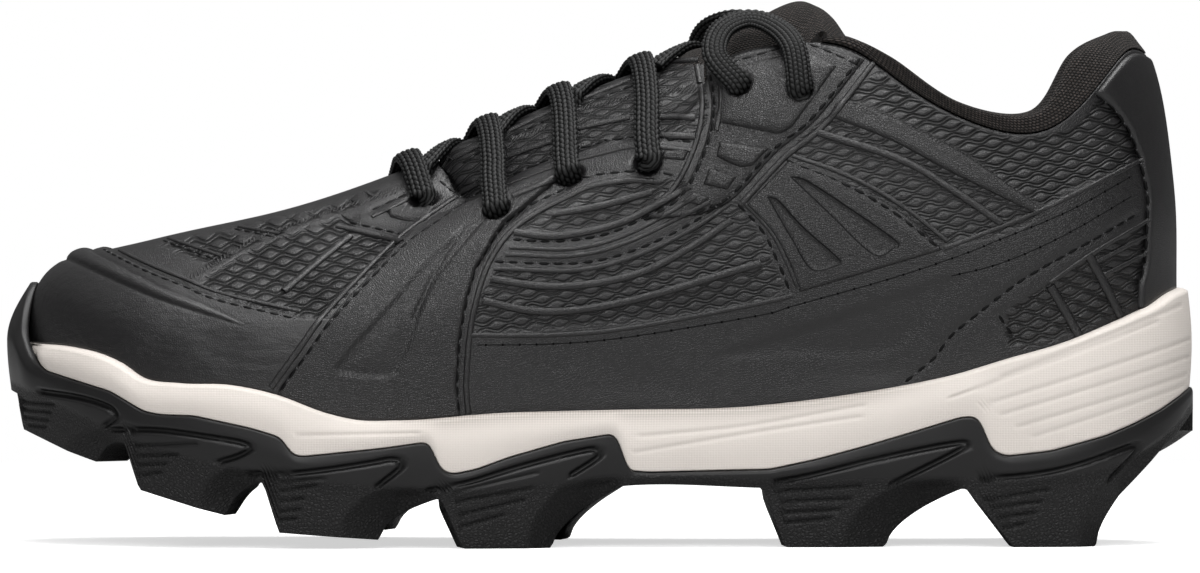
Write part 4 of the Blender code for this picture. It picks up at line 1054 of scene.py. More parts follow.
shell = np.concatenate((foot_out[None], outer, inner, foot_in[None]))
rise = np.vstack((np.zeros((1, len(ribs))), face[:1, :, 2] + run_of(face[..., 1:])))
rise = np.vstack((rise, np.repeat(rise[-1:], INNER_ROWS + 1, axis=0)))
wave = np.vstack((wave[:1] * 0, wave, np.zeros((INNER_ROWS + 1, len(ribs)))))
upper = make_piece("upper_shell", shell.reshape(-1, 3), [grid_faces(*shell.shape[:2], True, True)], SKIN,
                   "upper", "upper_synthetic", {"form": wave_form(shell[..., 0], rise), "wave": wave.ravel()})

# %% [markdown]
# ## Overlays
# Toe cap, wings, heel counter and eyelet panels are thin skins pressed over the shell. Each is a fine grid
# whose rim rolls down into the shell, with the photo's recesses sunk into it.


# %% Overlay skins
BACK_STEP = 4
SKIN_BACK = 1.0
EDGE_REACH = 1.2
DIP_LOW = -0.9
CAP_GRID, CAP_CROWD, CAP_SHARES = (73, 401), 1.25, 221
COUNTER_GRID, COUNTER_TOP = (93, 81), 0.985
WING_GRIDS, WING_TOP, WING_LIFT = {"lateral": (161, 121), "medial": (65, 41)}, 0.9, 1.25
WING_SINK, WING_SWELL = 0.7, 0.45


def ring(numbers):
    """The rim of a grid of point numbers, once round."""
    return np.concatenate((numbers[0], numbers[1:, -1], numbers[-1, -2::-1], numbers[-2:0:-1, 0]))


def skin_mesh(base, normal, rise):
    """Points and faces of a thin closed skin: a fine outer face and a back that is four times as coarse."""
    outer = base + normal * rise[..., None]
    back = (base - normal * SKIN_BACK)[::BACK_STEP, ::BACK_STEP]
    first = rise.size
    rim = ring(np.arange(first).reshape(rise.shape))
    back_rim = ring(first + np.arange(back[..., 0].size).reshape(back.shape[:2]))
    steps = BACK_STEP * np.arange(len(back_rim))
    wall = [rim[(steps + step) % len(rim)] for step in range(BACK_STEP + 1)]
    wall += [np.roll(back_rim, -1), back_rim]
    points = np.concatenate((outer.reshape(-1, 3), back.reshape(-1, 3)))
    return points, [grid_faces(*rise.shape), grid_faces(*back.shape[:2])[:, ::-1] + first,
                    np.column_stack(wall)]


def edge_roll(grid, reach, open_foot):
    """Share of full height near the rim of a grid: 0 on it, 1 from a reach inward, round between."""
    down, across = run_of(grid, 0), run_of(grid, 1)
    rims = [down[-1:] - down, across, across[:, -1:] - across]
    inward = np.minimum.reduce(rims if open_foot else [down, *rims])
    t = 1 - np.clip(inward / reach, 0, 1)
    return np.sqrt(np.maximum(1 - t * t, 0))


def dip_holes(base, lift):
    """Height of a skin, let down round the lace holes."""
    for hole, _ in HOLES.values():
        lift = lift - HOLE_DIP * soft(HOLE_RADIUS - np.linalg.norm(base - hole, axis=-1), HOLE_SOFT)
    return np.maximum(lift, DIP_LOW)


def overlay(name, node, where, share, relief, made_of, lift=OVERLAY_LIFT):
    """Skin over the shell from a grid of ribs and shares, with a relief read in the side view."""
    base, normal = upper_point(where, share), upper_normal(where, share)
    height = lift * edge_roll(base, EDGE_REACH, True) + relief(base[..., 0], base[..., 2])
    return make_piece(name, *skin_mesh(base, normal, dip_holes(base, height)), made_of, node,
                      "overlay_synthetic")


def trench(distance, wide, deep):
    """Narrow groove along a line."""
    return -deep * np.exp(-(distance / wide) ** 2)


def between(table, t):
    rows = np.array(table)
    return np.interp(t, rows[:, 0], rows[:, 1])


def seam_ribs(points):
    """Share of the way up and rib number along a seam of the outer side, lowest first."""
    spots = [find_on_upper(True, x, z) for x, z in smooth_path(points, 3.0)]
    return sorted((share, rib) for rib, share in spots)


# Bead along the toe cap's upper edge, folds (width, height, path), dip and vein of a wing, in pixels
TOE_BEAD = ((60, 256), (75, 258), (115, 275), (161, 295), (207, 311), (246, 325))
TOE_FOLDS = ((4.0, 0.2, ((70, 300), (120, 320), (190, 340))),
             (5.0, -0.25, ((110, 300), (170, 322), (230, 345))),
             (0.6, -0.15, ((92, 263), (110, 271), (130, 280))))
BEAD_HALF, BEAD_TALL, BEAD_TAPER = 1.85, 1.15, 42.0
WING_DIP = ((489, 217), (440, 250), (395, 298), (338, 361), (347, 373), (388, 376), (405, 361),
            (435, 288), (482, 229))
WING_VEIN = ((488, 219), (463, 232), (438, 268), (415, 316))


def toe_relief(x, z):
    path = smooth_path(TOE_BEAD, 1.0)
    gap = distance_to(path, x, z, 4.0)
    taper = np.clip((path[-1, 0] - x) / BEAD_TAPER, 0.02, 1.0) ** 0.6
    half = BEAD_HALF * taper
    lift = taper * (BEAD_TALL * np.sqrt(np.maximum(1 - (gap / half) ** 2, 0)) + trench(gap - half, 0.5, 0.25))
    for width, tall, path in TOE_FOLDS:
        lift += tall * np.exp(-(distance_to(smooth_path(path, 1.5), x, z, 3 * width) / width) ** 2)
    return lift


def wing_relief(x, z):
    depth = depth_in(WING_DIP, x, z, 8.0)
    vein = distance_to(smooth_path(WING_VEIN, 1.0), x, z, 4.0)
    return WING_SWELL * soft(depth - 3.0, 3.0) - WING_SINK * soft(depth - 0.5, 0.7) + trench(vein, 0.6, 0.4)


def no_relief(x, z):
    return 0.0 * x


wing_front, wing_rear = seam_ribs(SEAM_A), seam_ribs(SEAM_B[:7])
cap_rise, cap_round = np.linspace(0, 1, CAP_GRID[0]), np.linspace(0, 1, CAP_GRID[1]) ** CAP_CROWD
cap_start = between(wing_front, 0.25 * cap_rise) - 0.04
cap_ribs = cap_start[:, None] + (ROUND - 2 * cap_start)[:, None] * cap_round[None, :]
cap_top = []
rib_shares = np.linspace(0.05, 0.6, CAP_SHARES)
for k in cap_ribs[-1]:
    rib = upper_point(np.full(CAP_SHARES, k), rib_shares)
    cap_top.append(rib_shares[np.argmax(rib[:, 2] > line(TOE_SEAM, rib[:, 0]))])
cap_top = np.convolve(np.pad(cap_top, 4, mode="edge"), np.ones(9) / 9, mode="valid")
cap_shares = cap_top[None, :] * cap_rise[:, None]
toe_cap = overlay("toe_cap_skin", "toe_cap", cap_ribs, cap_shares, toe_relief, TOE_SKIN)

counter_share = np.linspace(0.0, COUNTER_TOP, COUNTER_GRID[0])
counter_half = between(seam_ribs(COUNTER_SEAM), counter_share)
counter_ribs = counter_half[:, None] * np.linspace(1, -1, COUNTER_GRID[1])[None, :]
counter = overlay("heel_counter_skin", "heel_counter", counter_ribs,
                  np.broadcast_to(counter_share[:, None], counter_ribs.shape), no_relief, COUNTER_SKIN)

overlays = [toe_cap, counter]
for side_name, (rows, columns) in WING_GRIDS.items():
    wing_share = np.linspace(0.0, WING_TOP, rows)
    first, last = between(wing_rear, wing_share), between(wing_front, wing_share)
    wing_ribs = first[:, None] + (last - first)[:, None] * np.linspace(0, 1, columns)[None, :]
    wing_ribs = wing_ribs if side_name == "lateral" else ROUND - wing_ribs
    wing_grid = np.broadcast_to(wing_share[:, None], wing_ribs.shape)
    overlays.append(overlay(f"wing_{side_name}_skin", f"wing_{side_name}", wing_ribs, wing_grid, wing_relief,
                            OVERLAY, WING_LIFT))

# %% [markdown]
# ## Tongue
# The tongue is a padded strip under the laces. Its front is moulded in the same skin as the upper, and its
# top is a thick pad of knit that stands free above the eyelets.

# %% Tongue
TONGUE_ROWS, TONGUE_COLUMNS, TONGUE_KNOTS = 150, 70, 13
TONGUE_WAVE, WAVE_END, WAVE_FADE = 0.6, 20.0, 3.0
KNIT_FROM, KNIT_FRONT, KNIT_ABOVE = 24.0, 17.5, 112.8
# Soft folds of the knit top: x, z of the middle, width, height
TONGUE_FOLDS = ((21.5, 115.5, 3.4, 0.9), (31.5, 120.5, 4.0, 1.8), (38.5, 120.5, 2.0, -0.5),
                (49.8, 124.0, 1.8, -0.7))
throat_ribs = np.linspace(HALF, 5.5, 400)
throat_x = upper_point(throat_ribs, 1.0)[:, 0]
under_shares = np.array((0.8, 0.9, 1.0))
arc = np.linspace(-1, 1, 9)[1:-1]
tongue_rows = []
for x, ridge, _, clear in TONGUE:
    if x > TONGUE_FREE_FROM:
        spread = np.linspace(-1, 1, TONGUE_KNOTS) * TONGUE_FREE_HALF
        tongue_rows.append(np.column_stack((np.full(TONGUE_KNOTS, x), THROAT_MIDDLE + spread,
                                            ridge - TONGUE_CAMBER * spread ** 2)))
        continue
    k = np.interp(x, throat_x, throat_ribs)
    near, far = [upper_point(rib, under_shares) - upper_normal(rib, under_shares) * (UPPER_WALL + clear)
                 for rib in (k, ROUND - k)]
    centre, reach = (near[-1] + far[-1]) / 2, (far[-1] - near[-1]) / 2
    arch = centre + reach * arc[:, None]
    arch[:, 2] += (ridge - centre[2]) * (1 - arc ** 2)
    tongue_rows.append(np.vstack((near, arch, far[::-1])))
tongue_rows = np.array(tongue_rows)
along = np.linspace(0, len(TONGUE) - 1, TONGUE_ROWS)
tongue_face = smooth_rows(tongue_rows.reshape(len(TONGUE), -1), along).reshape(TONGUE_ROWS, TONGUE_KNOTS, 3)
sideways = np.linspace(0, TONGUE_KNOTS - 1, TONGUE_COLUMNS)
tongue_face = smooth_rows(tongue_face.transpose(1, 0, 2).reshape(TONGUE_KNOTS, -1), sideways)
tongue_face = tongue_face.reshape(TONGUE_COLUMNS, TONGUE_ROWS, 3).transpose(1, 0, 2)
tongue_out = unit(np.cross(np.gradient(tongue_face, axis=0), np.gradient(tongue_face, axis=1)))
tongue_out *= np.sign(tongue_out[..., 2:].mean())
thick = TONGUE_THICK * curve([(i, entry[2]) for i, entry in enumerate(TONGUE)], along)
tongue_back = tongue_face - tongue_out * thick[:, None, None]
for fold_x, fold_z, wide, tall in TONGUE_FOLDS:
    off = np.hypot(tongue_face[..., 0] - fold_x, 0.6 * (tongue_face[..., 2] - fold_z))
    tongue_face = tongue_face + tongue_out * (tall * np.exp(-(off / wide) ** 2))[..., None]
section = np.concatenate((tongue_face, tongue_back[:, ::-1]), axis=1)
tongue_points = section.reshape(-1, 3)
tongue_rise = section[:, :1, 2] + run_of(section, 1)
tongue_ring = np.arange(2 * TONGUE_COLUMNS)[None]
tongue_faces = [grid_faces(TONGUE_ROWS, 2 * TONGUE_COLUMNS, False, True), tongue_ring,
                tongue_ring + (TONGUE_ROWS - 1) * 2 * TONGUE_COLUMNS]
tongue = make_piece("tongue_pad", tongue_points, tongue_faces, TONGUE_SKIN, "tongue", "tongue_synthetic",
                    {"form": wave_form(section[..., 0], tongue_rise),
                     "wave": TONGUE_WAVE * soft(WAVE_END - tongue_points[:, 0], WAVE_FADE)})
tongue.data.materials.append(KNIT)
middles = np.array([polygon.center for polygon in tongue.data.polygons]) / MM
is_knit = (middles[:, 0] > KNIT_FROM) | ((middles[:, 0] > KNIT_FRONT) & (middles[:, 2] > KNIT_ABOVE))
tongue.data.polygons.foreach_set("material_index", is_knit.astype(np.int32))

# %% [markdown]
# ## Collar
# The collar is a cuff of knit mesh over foam. It hooks over the shell's top line, rolls over a soft crest
# and lines the inside, and thins out towards the eyelet panels.

# %% Collar
COLLAR_STATIONS, COLLAR_ROUND = 320, 48
COLLAR_TIP = 0.5
COLLAR_THIN = 0.25
COLLAR_TAPER = 1.2
HOOK_SLACK, HOOK_RISE, LINING_RISE = 0.5, 0.4, 1.0
CREST_TIP = (51.5, 18.0, 119.6)
collar_ribs = np.linspace(-COLLAR_FRONT - COLLAR_TIP, COLLAR_FRONT + COLLAR_TIP, COLLAR_STATIONS)
crest_points = smooth_rows((*CREST, CREST_TIP), np.abs(collar_ribs))
crest_points[:, 1] *= -np.sign(collar_ribs)
edge_points, edge_normals = upper_point(collar_ribs, 1.0), upper_normal(collar_ribs, 1.0)
edge_up = unit(edge_points - upper_point(collar_ribs, 0.97))
to_tip = (COLLAR_FRONT + COLLAR_TIP / 2 - np.abs(collar_ribs)) / COLLAR_TAPER
pad = COLLAR_PAD * np.clip(to_tip, COLLAR_THIN, 1.0)[:, None]
hooked = UPPER_WALL + HOOK_SLACK


def lining(share, depth):
    """Points inside the upper, a depth in from its outer face."""
    return upper_point(collar_ribs, share) - upper_normal(collar_ribs, share) * depth


collar_loops = np.stack((
    edge_points + edge_up * HOOK_RISE,
    (edge_points + crest_points) / 2 + edge_normals * COLLAR_ROLL,
    crest_points,
    lining(1.0, pad + hooked) + edge_up * LINING_RISE,
    lining(COLLAR_MID, pad + hooked),
    lining(COLLAR_LOW, 0.6 * pad + hooked),
    lining(COLLAR_LOW, hooked),
    lining(COLLAR_MID, hooked),
    lining(1.0, hooked) + edge_up * HOOK_RISE,
))
turn = np.arange(COLLAR_ROUND) * len(collar_loops) / COLLAR_ROUND
collar_grid = closed_spline(collar_loops.reshape(len(collar_loops), -1), turn).reshape(COLLAR_ROUND, -1, 3)
collar_grid = collar_grid.transpose(1, 0, 2)
ends = [np.arange(COLLAR_ROUND)[None], np.arange(COLLAR_ROUND)[None] + (COLLAR_STATIONS - 1) * COLLAR_ROUND]
collar_u = np.broadcast_to(run_of(crest_points)[:, None], collar_grid.shape[:2])
collar = make_piece("collar_cuff", collar_grid.reshape(-1, 3),
                    [grid_faces(COLLAR_STATIONS, COLLAR_ROUND, False, True), *ends],
                    KNIT, "collar", "collar_knit", {"form": form_of(collar_u, run_of(collar_grid, 1))})

# %% [markdown]
# ## Sole
# The foam midsole stands in a rubber cup. The rubber's side wall runs down into the studs in one sweep, so
# it is one grid: each column goes from the wavy top edge to the lowest point of the side there.

# %% Stations of the sole
SOLE_HALF = 420
dense_k = np.linspace(0, HALF, 3001)
half_run = run_of(outline(dense_k)[0])
half_k = np.interp(np.linspace(0, half_run[-1], SOLE_HALF), half_run, dense_k)
sole_k = np.concatenate((half_k, (ROUND - half_k)[-2:0:-1]))
PLAN, OUT = outline(sole_k)
SOLE_X = PLAN[:, 0]
AROUND = len(sole_k)
IS_LATERAL = sole_k <= HALF


def rounded(values, reach):
    """Values round the sole with their corners rounded over a reach of stations."""
    weights = np.hanning(2 * reach + 1)
    return np.convolve(np.pad(values, reach, mode="wrap"), weights / weights.sum(), mode="valid")


EDGE_Z = rounded(line(RUBBER_EDGE, SOLE_X), 3)
RIM_Z, TREAD_Z, BED_Z = curve(RIM, SOLE_X), curve(TREAD, SOLE_X), curve(BED, SOLE_X)
FLOOR_Z = TREAD_Z + PLATE_THICK


def sole_loop(offset, height):
    """Loop of the sole's outline, moved out by an offset, at a height for each station."""
    moved = PLAN + OUT * np.broadcast_to(offset, SOLE_X.shape)[:, None]
    return np.column_stack((moved, np.broadcast_to(height, SOLE_X.shape)))


def sole_piece(name, loops, made_of, node, slot, values=None):
    """Piece made of loops round the sole, capped at the first and the last."""
    count = len(loops)
    faces = [grid_faces(count, AROUND, False, True), *ladder_faces(0, AROUND),
             *ladder_faces((count - 1) * AROUND, AROUND)]
    return make_piece(name, np.reshape(loops, (-1, 3)), faces, made_of, node, slot, values)


def with_wall(before, offsets, heights, after):
    """Loops of a side wall between those before and after it."""
    return np.stack((*before, *[sole_loop(offset, z) for offset, z in zip(offsets, heights)], *after))


def wall_layer(before, values, after):
    """Values of a side wall, and none on the loops before and after it."""
    return np.vstack((np.zeros((len(before), AROUND)), values, np.zeros((len(after), AROUND)))).ravel()


def skin_offset(heights):
    """How far the upper's face stands from the sole's outline at a height for each station."""
    rib = upper_point(sole_k[:, None], np.linspace(0, 0.5, 241)[None, :])
    nearest = np.argmin(np.abs(rib[..., 2] - heights[:, None]), axis=1)
    skin = rib[np.arange(AROUND), nearest]
    return rounded(np.sum((skin[:, :2] - PLAN) * OUT, axis=1), 6)


# How far the rubber laps the foam, and how far its wall leans to the toe cap: shares for each station
LAPPED = rounded(np.clip((EDGE_Z - RIM_Z + 5.0) / 2.5, 0, 1), 8)
LEAN = rounded(np.clip((EDGE_Z - RIM_Z - 2.0) / 6.0, 0, 1), 8)
SKIN_CLEAR = 1.25
BEND_Z = np.where(EDGE_Z > RIM_Z + 0.5, RIM_Z + 0.5, (FLOOR_Z + EDGE_Z) / 2)
BEND_Z = np.minimum(rounded(BEND_Z, 10), EDGE_Z - 1.0)
HIGH_Z = (BEND_Z + EDGE_Z) / 2


def bumper_inside(heights):
    """Inside of the rubber's wall: upright, and over the rim it leans to the toe cap."""
    return -RUBBER_WALL + (skin_offset(heights) + SKIN_CLEAR + RUBBER_WALL) * LEAN


INNER_TOP = bumper_inside(EDGE_Z)
print("stations round the sole", AROUND)

# %% [markdown]
# The side of each stud has a front face, a ridge and a hollow behind it, with hooked grooves above and
# short lines across the front; hollow, grooves and lines are painted darker as shade. Loops inside the wall
# and under the studs close the cup.

# %% Outsole
WALL_ROWS = 58
# Hook-shaped grooves above the studs, in pixels
HOOKS = {
    "toe": ((40, 392), (75, 396), (100, 402), (113, 408), (116, 416), (105, 424)),
    "joint": ((110, 428), (160, 428), (210, 434), (245, 440), (252, 446), (240, 453), (220, 459)),
    "ball": ((250, 470), (290, 470), (330, 466), (370, 460), (395, 456), (403, 463), (379, 483)),
    "tread": ((430, 487), (470, 479), (510, 467), (550, 456), (584, 448), (595, 447), (599, 454), (572, 472)),
    "arch": ((775, 480), (816, 472), (877, 457), (952, 442), (960, 447), (891, 482)),
    "heel": ((980, 477), (1036, 472), (1078, 463), (1120, 449), (1133, 445), (1138, 450), (1112, 477)),
}
# Short lines across the front of each stud, in pixels
LUG_LINES = {
    "toe": (((12, 402), (52, 404)), ((16, 410), (48, 412)), ((22, 418), (45, 420)), ((27, 426), (42, 427))),
    "joint": (((128, 444), (198, 440)), ((131, 454), (178, 452)), ((134, 463), (165, 461)),
              ((137, 473), (159, 470))),
    "ball": (((267, 479), (326, 475)), ((271, 489), (318, 482)), ((274, 499), (304, 495)),
             ((278, 509), (300, 506)), ((281, 517), (296, 515))),
    "tread": (((453, 489), (537, 470)), ((457, 499), (533, 485)), ((460, 512), (525, 497)),
              ((463, 524), (504, 512))),
    "arch": (((776, 490), (860, 484)), ((780, 500), (848, 497)), ((782, 511), (838, 508)),
             ((784, 521), (828, 517))),
    "heel": (((984, 498), (1048, 488)), ((990, 506), (1040, 500)), ((996, 516), (1034, 511)),
             ((1002, 526), (1024, 522))),
}
# Hooks and lug lines: width, depth, and how dark they are painted as shade
HOOK_WIDE, HOOK_DEEP, HOOK_SHADE = 0.7, 1.1, 0.95
LUG_WIDE, LUG_DEEP, LUG_SHADE = 0.45, 0.5, 0.85
RIDGE_BEND, REAR_BEND = 2.4, 1.8
HOLLOW_SHARE, HOLLOW_END, HOLLOW_SHADE = 0.45, 8.0, 0.4
WALL_TUCK, TIP_TUCK = 1.2, 1.5
RIM_DROP = 0.2
EDGE_DEPTH, TIP_THINNER, PLATE_IN = 5.0, 6.0, -8.0


def stud_bottom(row, x):
    """Lowest point of the side along x under one stud."""
    tip_front, _, tip_rear, root_front, _, root_rear, front_z, rear_z, _ = row
    root = curve(TREAD, x)
    ahead = np.clip((tip_front - x) / (tip_front - root_front), 0, 1)
    behind = np.clip((x - tip_rear) / (root_rear - tip_rear), 0, 1) ** (1 / REAR_BEND)
    share = np.clip((x - tip_front) / (tip_rear - tip_front), 0, 1)
    tip = front_z + (rear_z - front_z) * share
    return tip + (root - tip) * np.maximum(ahead, behind)


SIDEWAYS = OUT[:, 1] ** 2
bottom = TREAD_Z.copy()
shifts = {name: np.where(IS_LATERAL, 0.0, row[-1]) for name, row in STUDS.items()}
for name, row in STUDS.items():
    bottom = np.minimum(bottom, stud_bottom(row, SOLE_X - shifts[name]))
fall = np.linspace(0, 1, WALL_ROWS)[:, None]
wall_high = EDGE_Z - RIM_DROP
wall_z = wall_high + (bottom - wall_high) * fall
above = np.sin(np.clip((wall_high - wall_z) / (wall_high - BEND_Z), 0, 1) * math.pi / 2)
below = 1 - np.cos(np.clip((BEND_Z - wall_z) / (BEND_Z - TREAD_Z), 0, 1) * math.pi / 2)
wall_offset = (INNER_TOP + RUBBER_WALL - 0.3) * (1 - above) + BUMPER_OUT * LAPPED * (above - below)
wall_offset = wall_offset - WALL_TUCK * below * SIDEWAYS
wall_shade = np.zeros(wall_z.shape)
depth = np.full(AROUND, EDGE_DEPTH)
for name, row in STUDS.items():
    tip_front, tip_ridge, tip_rear, root_front, root_ridge, root_rear, front_z, rear_z, _ = row
    x = np.broadcast_to(SOLE_X - shifts[name], wall_z.shape)
    within = (x > root_front - 1) & (x < root_rear + 1)
    tip = front_z + (rear_z - front_z) * np.clip((x - tip_front) / (tip_rear - tip_front), 0, 1)
    up = np.clip((wall_z - tip) / (TREAD_Z - tip + 0.01), 0, 1.25)
    ridge = tip_ridge + (root_ridge - tip_ridge) * up ** RIDGE_BEND
    rear = tip_rear + (root_rear - tip_rear) * np.clip(up, 0, 1) ** REAR_BEND
    hollow = np.clip((x - ridge) / np.maximum(rear - ridge, 1.0), 0, 1)
    hollow = hollow * HOLLOW_SHARE * (STUD_DEPTH_TIP + (STUD_DEPTH_ROOT - STUD_DEPTH_TIP) * up) * SIDEWAYS
    hollow = hollow * np.clip((root_rear - x) / HOLLOW_END, 0, 1)
    fade = soft(TREAD_Z + 1.6 - wall_z, 1.4)
    stud_offset = wall_offset - TIP_TUCK * np.clip(1 - up, 0, 1) * SIDEWAYS - hollow * fade
    wall_offset = np.where(within, stud_offset, wall_offset)
    # The hollow behind the ridge is painted darker as shade
    stud_shade = np.maximum(wall_shade, HOLLOW_SHADE * soft(x - ridge - 0.4, 0.8) * fade)
    wall_shade = np.where(within, stud_shade, wall_shade)
    share = np.clip((TREAD_Z - bottom) / np.maximum(TREAD_Z - tip[0], 1.0), 0, 1)
    stud_depth = (STUD_DEPTH_ROOT - EDGE_DEPTH - TIP_THINNER * share) * np.clip(share * 4, 0, 1)
    depth = np.where(within[0], EDGE_DEPTH + stud_depth, depth)
    lines = [(HOOK_WIDE, HOOK_DEEP, HOOK_SHADE, HOOKS[name])]
    lines += [(LUG_WIDE, LUG_DEEP, LUG_SHADE, path) for path in LUG_LINES[name]]
    for wide, deep, shade_of_line, path in lines:
        near = np.exp(-(distance_to(smooth_path(path, 1.0), x, wall_z, 3.0) / wide) ** 4)
        wall_offset = wall_offset - deep * near
        wall_shade = np.maximum(wall_shade, shade_of_line * near)
low_wall = wall_offset[-1]
inside = (
    sole_loop(-RUBBER_WALL, FLOOR_Z),
    sole_loop(-RUBBER_WALL, BEND_Z),
    sole_loop(np.maximum(bumper_inside(HIGH_Z), INNER_TOP), HIGH_Z),
    sole_loop(INNER_TOP, EDGE_Z - 0.25),
    sole_loop(INNER_TOP + 0.4, EDGE_Z),
    sole_loop(INNER_TOP + RUBBER_WALL - 0.7, EDGE_Z),
)
underside = (
    sole_loop(low_wall - 0.6, bottom),
    sole_loop(low_wall - depth + 0.8, bottom),
    sole_loop(low_wall - depth - 0.4, bottom + 0.6),
    sole_loop(np.minimum(low_wall - depth - 2.0, PLATE_IN), TREAD_Z),
)
loops = with_wall(inside, wall_offset, wall_z, underside)
grain = soft(TREAD_Z[None] + 2.2 - loops[..., 2], 1.0)
sole_piece("outsole_cup", loops, RUBBER, "outsole", "outsole_rubber",
           {"grain": grain.ravel(), "groove": wall_layer(inside, wall_shade, underside)})

# %% [markdown]
# The foam stands on the rubber's inside, swells a little between rubber and rim, and carries long grooves
# at the heel, painted darker as shade. A mask paints shade on the hatching under the upper along the arch.

# %% Midsole
FOAM_ROWS = 48
ARCH_SHADE = 0.75
# Long grooves of the heel and faint lines of the arch: width, depth, path in pixels
FOAM_LINES = (
    (0.42, 0.26, ((950, 396), (1160, 321))),
    (0.42, 0.26, ((980, 404), (1193, 340))),
    (0.42, 0.26, ((1000, 413), (1192, 357))),
    (0.42, 0.26, ((1017, 425), (1190, 375))),
    (0.42, 0.24, ((1032, 435), (1187, 386))),
    (0.42, 0.24, ((1000, 375), (1185, 306))),
    (0.5, 0.2, ((635, 450), (745, 432), (860, 415))),
    (0.5, 0.2, ((640, 434), (745, 424), (862, 404))),
    (0.5, 0.2, ((300, 432), (420, 430))),
)
LEDGE_Z = np.minimum(EDGE_Z + GAP, RIM_Z - 2.0)
FOAM_OUT = -FOAM_INSET - (RUBBER_WALL + 2 * GAP - FOAM_INSET) * LAPPED
WALL_TOP = RIM_Z - 0.8
BULGE = 0.7 * (1 - LAPPED)
foam_share = np.linspace(0, 1, FOAM_ROWS)[:, None]
foam_z = LEDGE_Z + (WALL_TOP - LEDGE_Z) * foam_share
foam_offset = FOAM_OUT + BULGE * np.sin(np.pi * foam_share) - 0.4 * foam_share
foam_x = np.broadcast_to(SOLE_X, foam_z.shape)
foam_groove_shade = np.zeros(foam_z.shape)
# Each groove is also painted darker in the foam's colour: painted shade
for wide, deep, path in FOAM_LINES:
    near = np.exp(-(distance_to(smooth_path(path, 2.0), foam_x, foam_z, 2.5) / wide) ** 2)
    foam_offset = foam_offset - deep * near
    foam_groove_shade = np.maximum(foam_groove_shade, min(1.0, 1.6 * deep) * near)
foam_foot = (sole_loop(-RUBBER_WALL - GAP, FLOOR_Z + GAP), sole_loop(-RUBBER_WALL - GAP, LEDGE_Z))
foam_rim = (
    sole_loop(FOAM_OUT - 1.2, RIM_Z - 0.25),
    sole_loop(-FOAM_INSET - 2.6, RIM_Z),
    sole_loop(-FOAM_INSET - RIM_THICK, RIM_Z),
    sole_loop(-FOAM_INSET - RIM_THICK, BED_Z),
)
foam_loops = with_wall(foam_foot, foam_offset, foam_z, foam_rim)
under_upper = np.clip(1 - (RIM_Z - foam_loops[..., 2]) / 5.0, 0, 1) ** 2
arch_share = soft(SOLE_X + 45.0, 12.0) * soft(72.0 - SOLE_X, 12.0)
sole_piece("midsole_slab", foam_loops, FOAM, "midsole", "midsole_foam",
           {"form": form_of(foam_loops[..., 0], foam_loops[..., 2]),
            "groove": wall_layer(foam_foot, foam_groove_shade, foam_rim),
            "shade": (ARCH_SHADE * under_upper * arch_share[None]).ravel()})

# %% [markdown]
# The sock-liner is a plain slab with a rounded upper edge, laid on the foam bed inside the upper.

# %% Insole
INSOLE_EDGE = FOAM_INSET + RIM_THICK + GAP + UPPER_WALL + 0.6
insole_loops = (
    sole_loop(-INSOLE_EDGE, BED_Z + GAP),
    sole_loop(-INSOLE_EDGE, BED_Z + GAP + 0.7 * INSOLE_THICK),
    sole_loop(-INSOLE_EDGE - 0.6, BED_Z + GAP + 0.9 * INSOLE_THICK),
    sole_loop(-INSOLE_EDGE - 2.0, BED_Z + GAP + INSOLE_THICK),
)
sole_piece("insole_liner", insole_loops, SOCK, "insole", "insole_fabric")

# %% [markdown]
# ## Ribs and stitches
# Raised ribs are moulded with the shell and stitches are sewn beside them. Both follow lines on the
# surface, so two small Geometry Nodes trees sweep a bead along each line and set a stitch at every pitch.

# %% Lines draped on the surface
SKINS = []


def add_skins(*pieces):
    """Let lines and pads be laid on these pieces."""
    bpy.context.view_layer.update()
    graph = bpy.context.evaluated_depsgraph_get()
    SKINS.extend(BVHTree.FromObject(piece, graph) for piece in pieces)


add_skins(upper, tongue, *overlays)


def outermost(x, z, lateral):
    """Point and normal of the outermost skin of one side at x, z, or nothing beside the shoe."""
    sign = -1.0 if lateral else 1.0
    start, way = Vector((x * MM, sign * 0.2, z * MM)), Vector((0.0, -sign, 0.0))
    hits = [tree.ray_cast(start, way) for tree in SKINS]
    hits = [hit for hit in hits if hit[0] is not None and sign * hit[0].y > -0.01]
    return min(hits, key=lambda hit: hit[3])[:2] if hits else None


def drape(path, lateral):
    """Runs of points of a side-view path on the outermost skin of one side, with the skin's normals."""
    runs, current = [], []
    for x, z in path:
        spot = outermost(x, z, lateral)
        broken = spot is None or (current and (spot[0] - current[-1][0]).length > 0.006)
        if broken:
            runs.append(current)
            current = []
        if spot is not None:
            current.append(spot)
    runs.append(current)
    return [run for run in runs if len(run) > 2]


def carrier(name, points, edges, values):
    """Object of points and edges that carries values for a tree."""
    mesh = bpy.data.meshes.new(name)
    mesh.from_pydata(points, edges, [])
    for key, value in values.items():
        add_layer(mesh, key, value)
    made = bpy.data.objects.new(name, mesh)
    scene.collection.objects.link(made)
    return made


def line_mesh(name, runs):
    """Edges along runs of points, carrying the surface's normal and a radius for each."""
    points, normals, edges, radii = [], [], [], []
    for radius, run in runs:
        first = len(points)
        points += [spot for spot, _ in run]
        normals += [normal for _, normal in run]
        radii += [radius] * len(run)
        edges += [(first + i, first + i + 1) for i in range(len(run) - 1)]
    return carrier(name, points, edges, {"out": np.array(normals), "size": np.array(radii)})


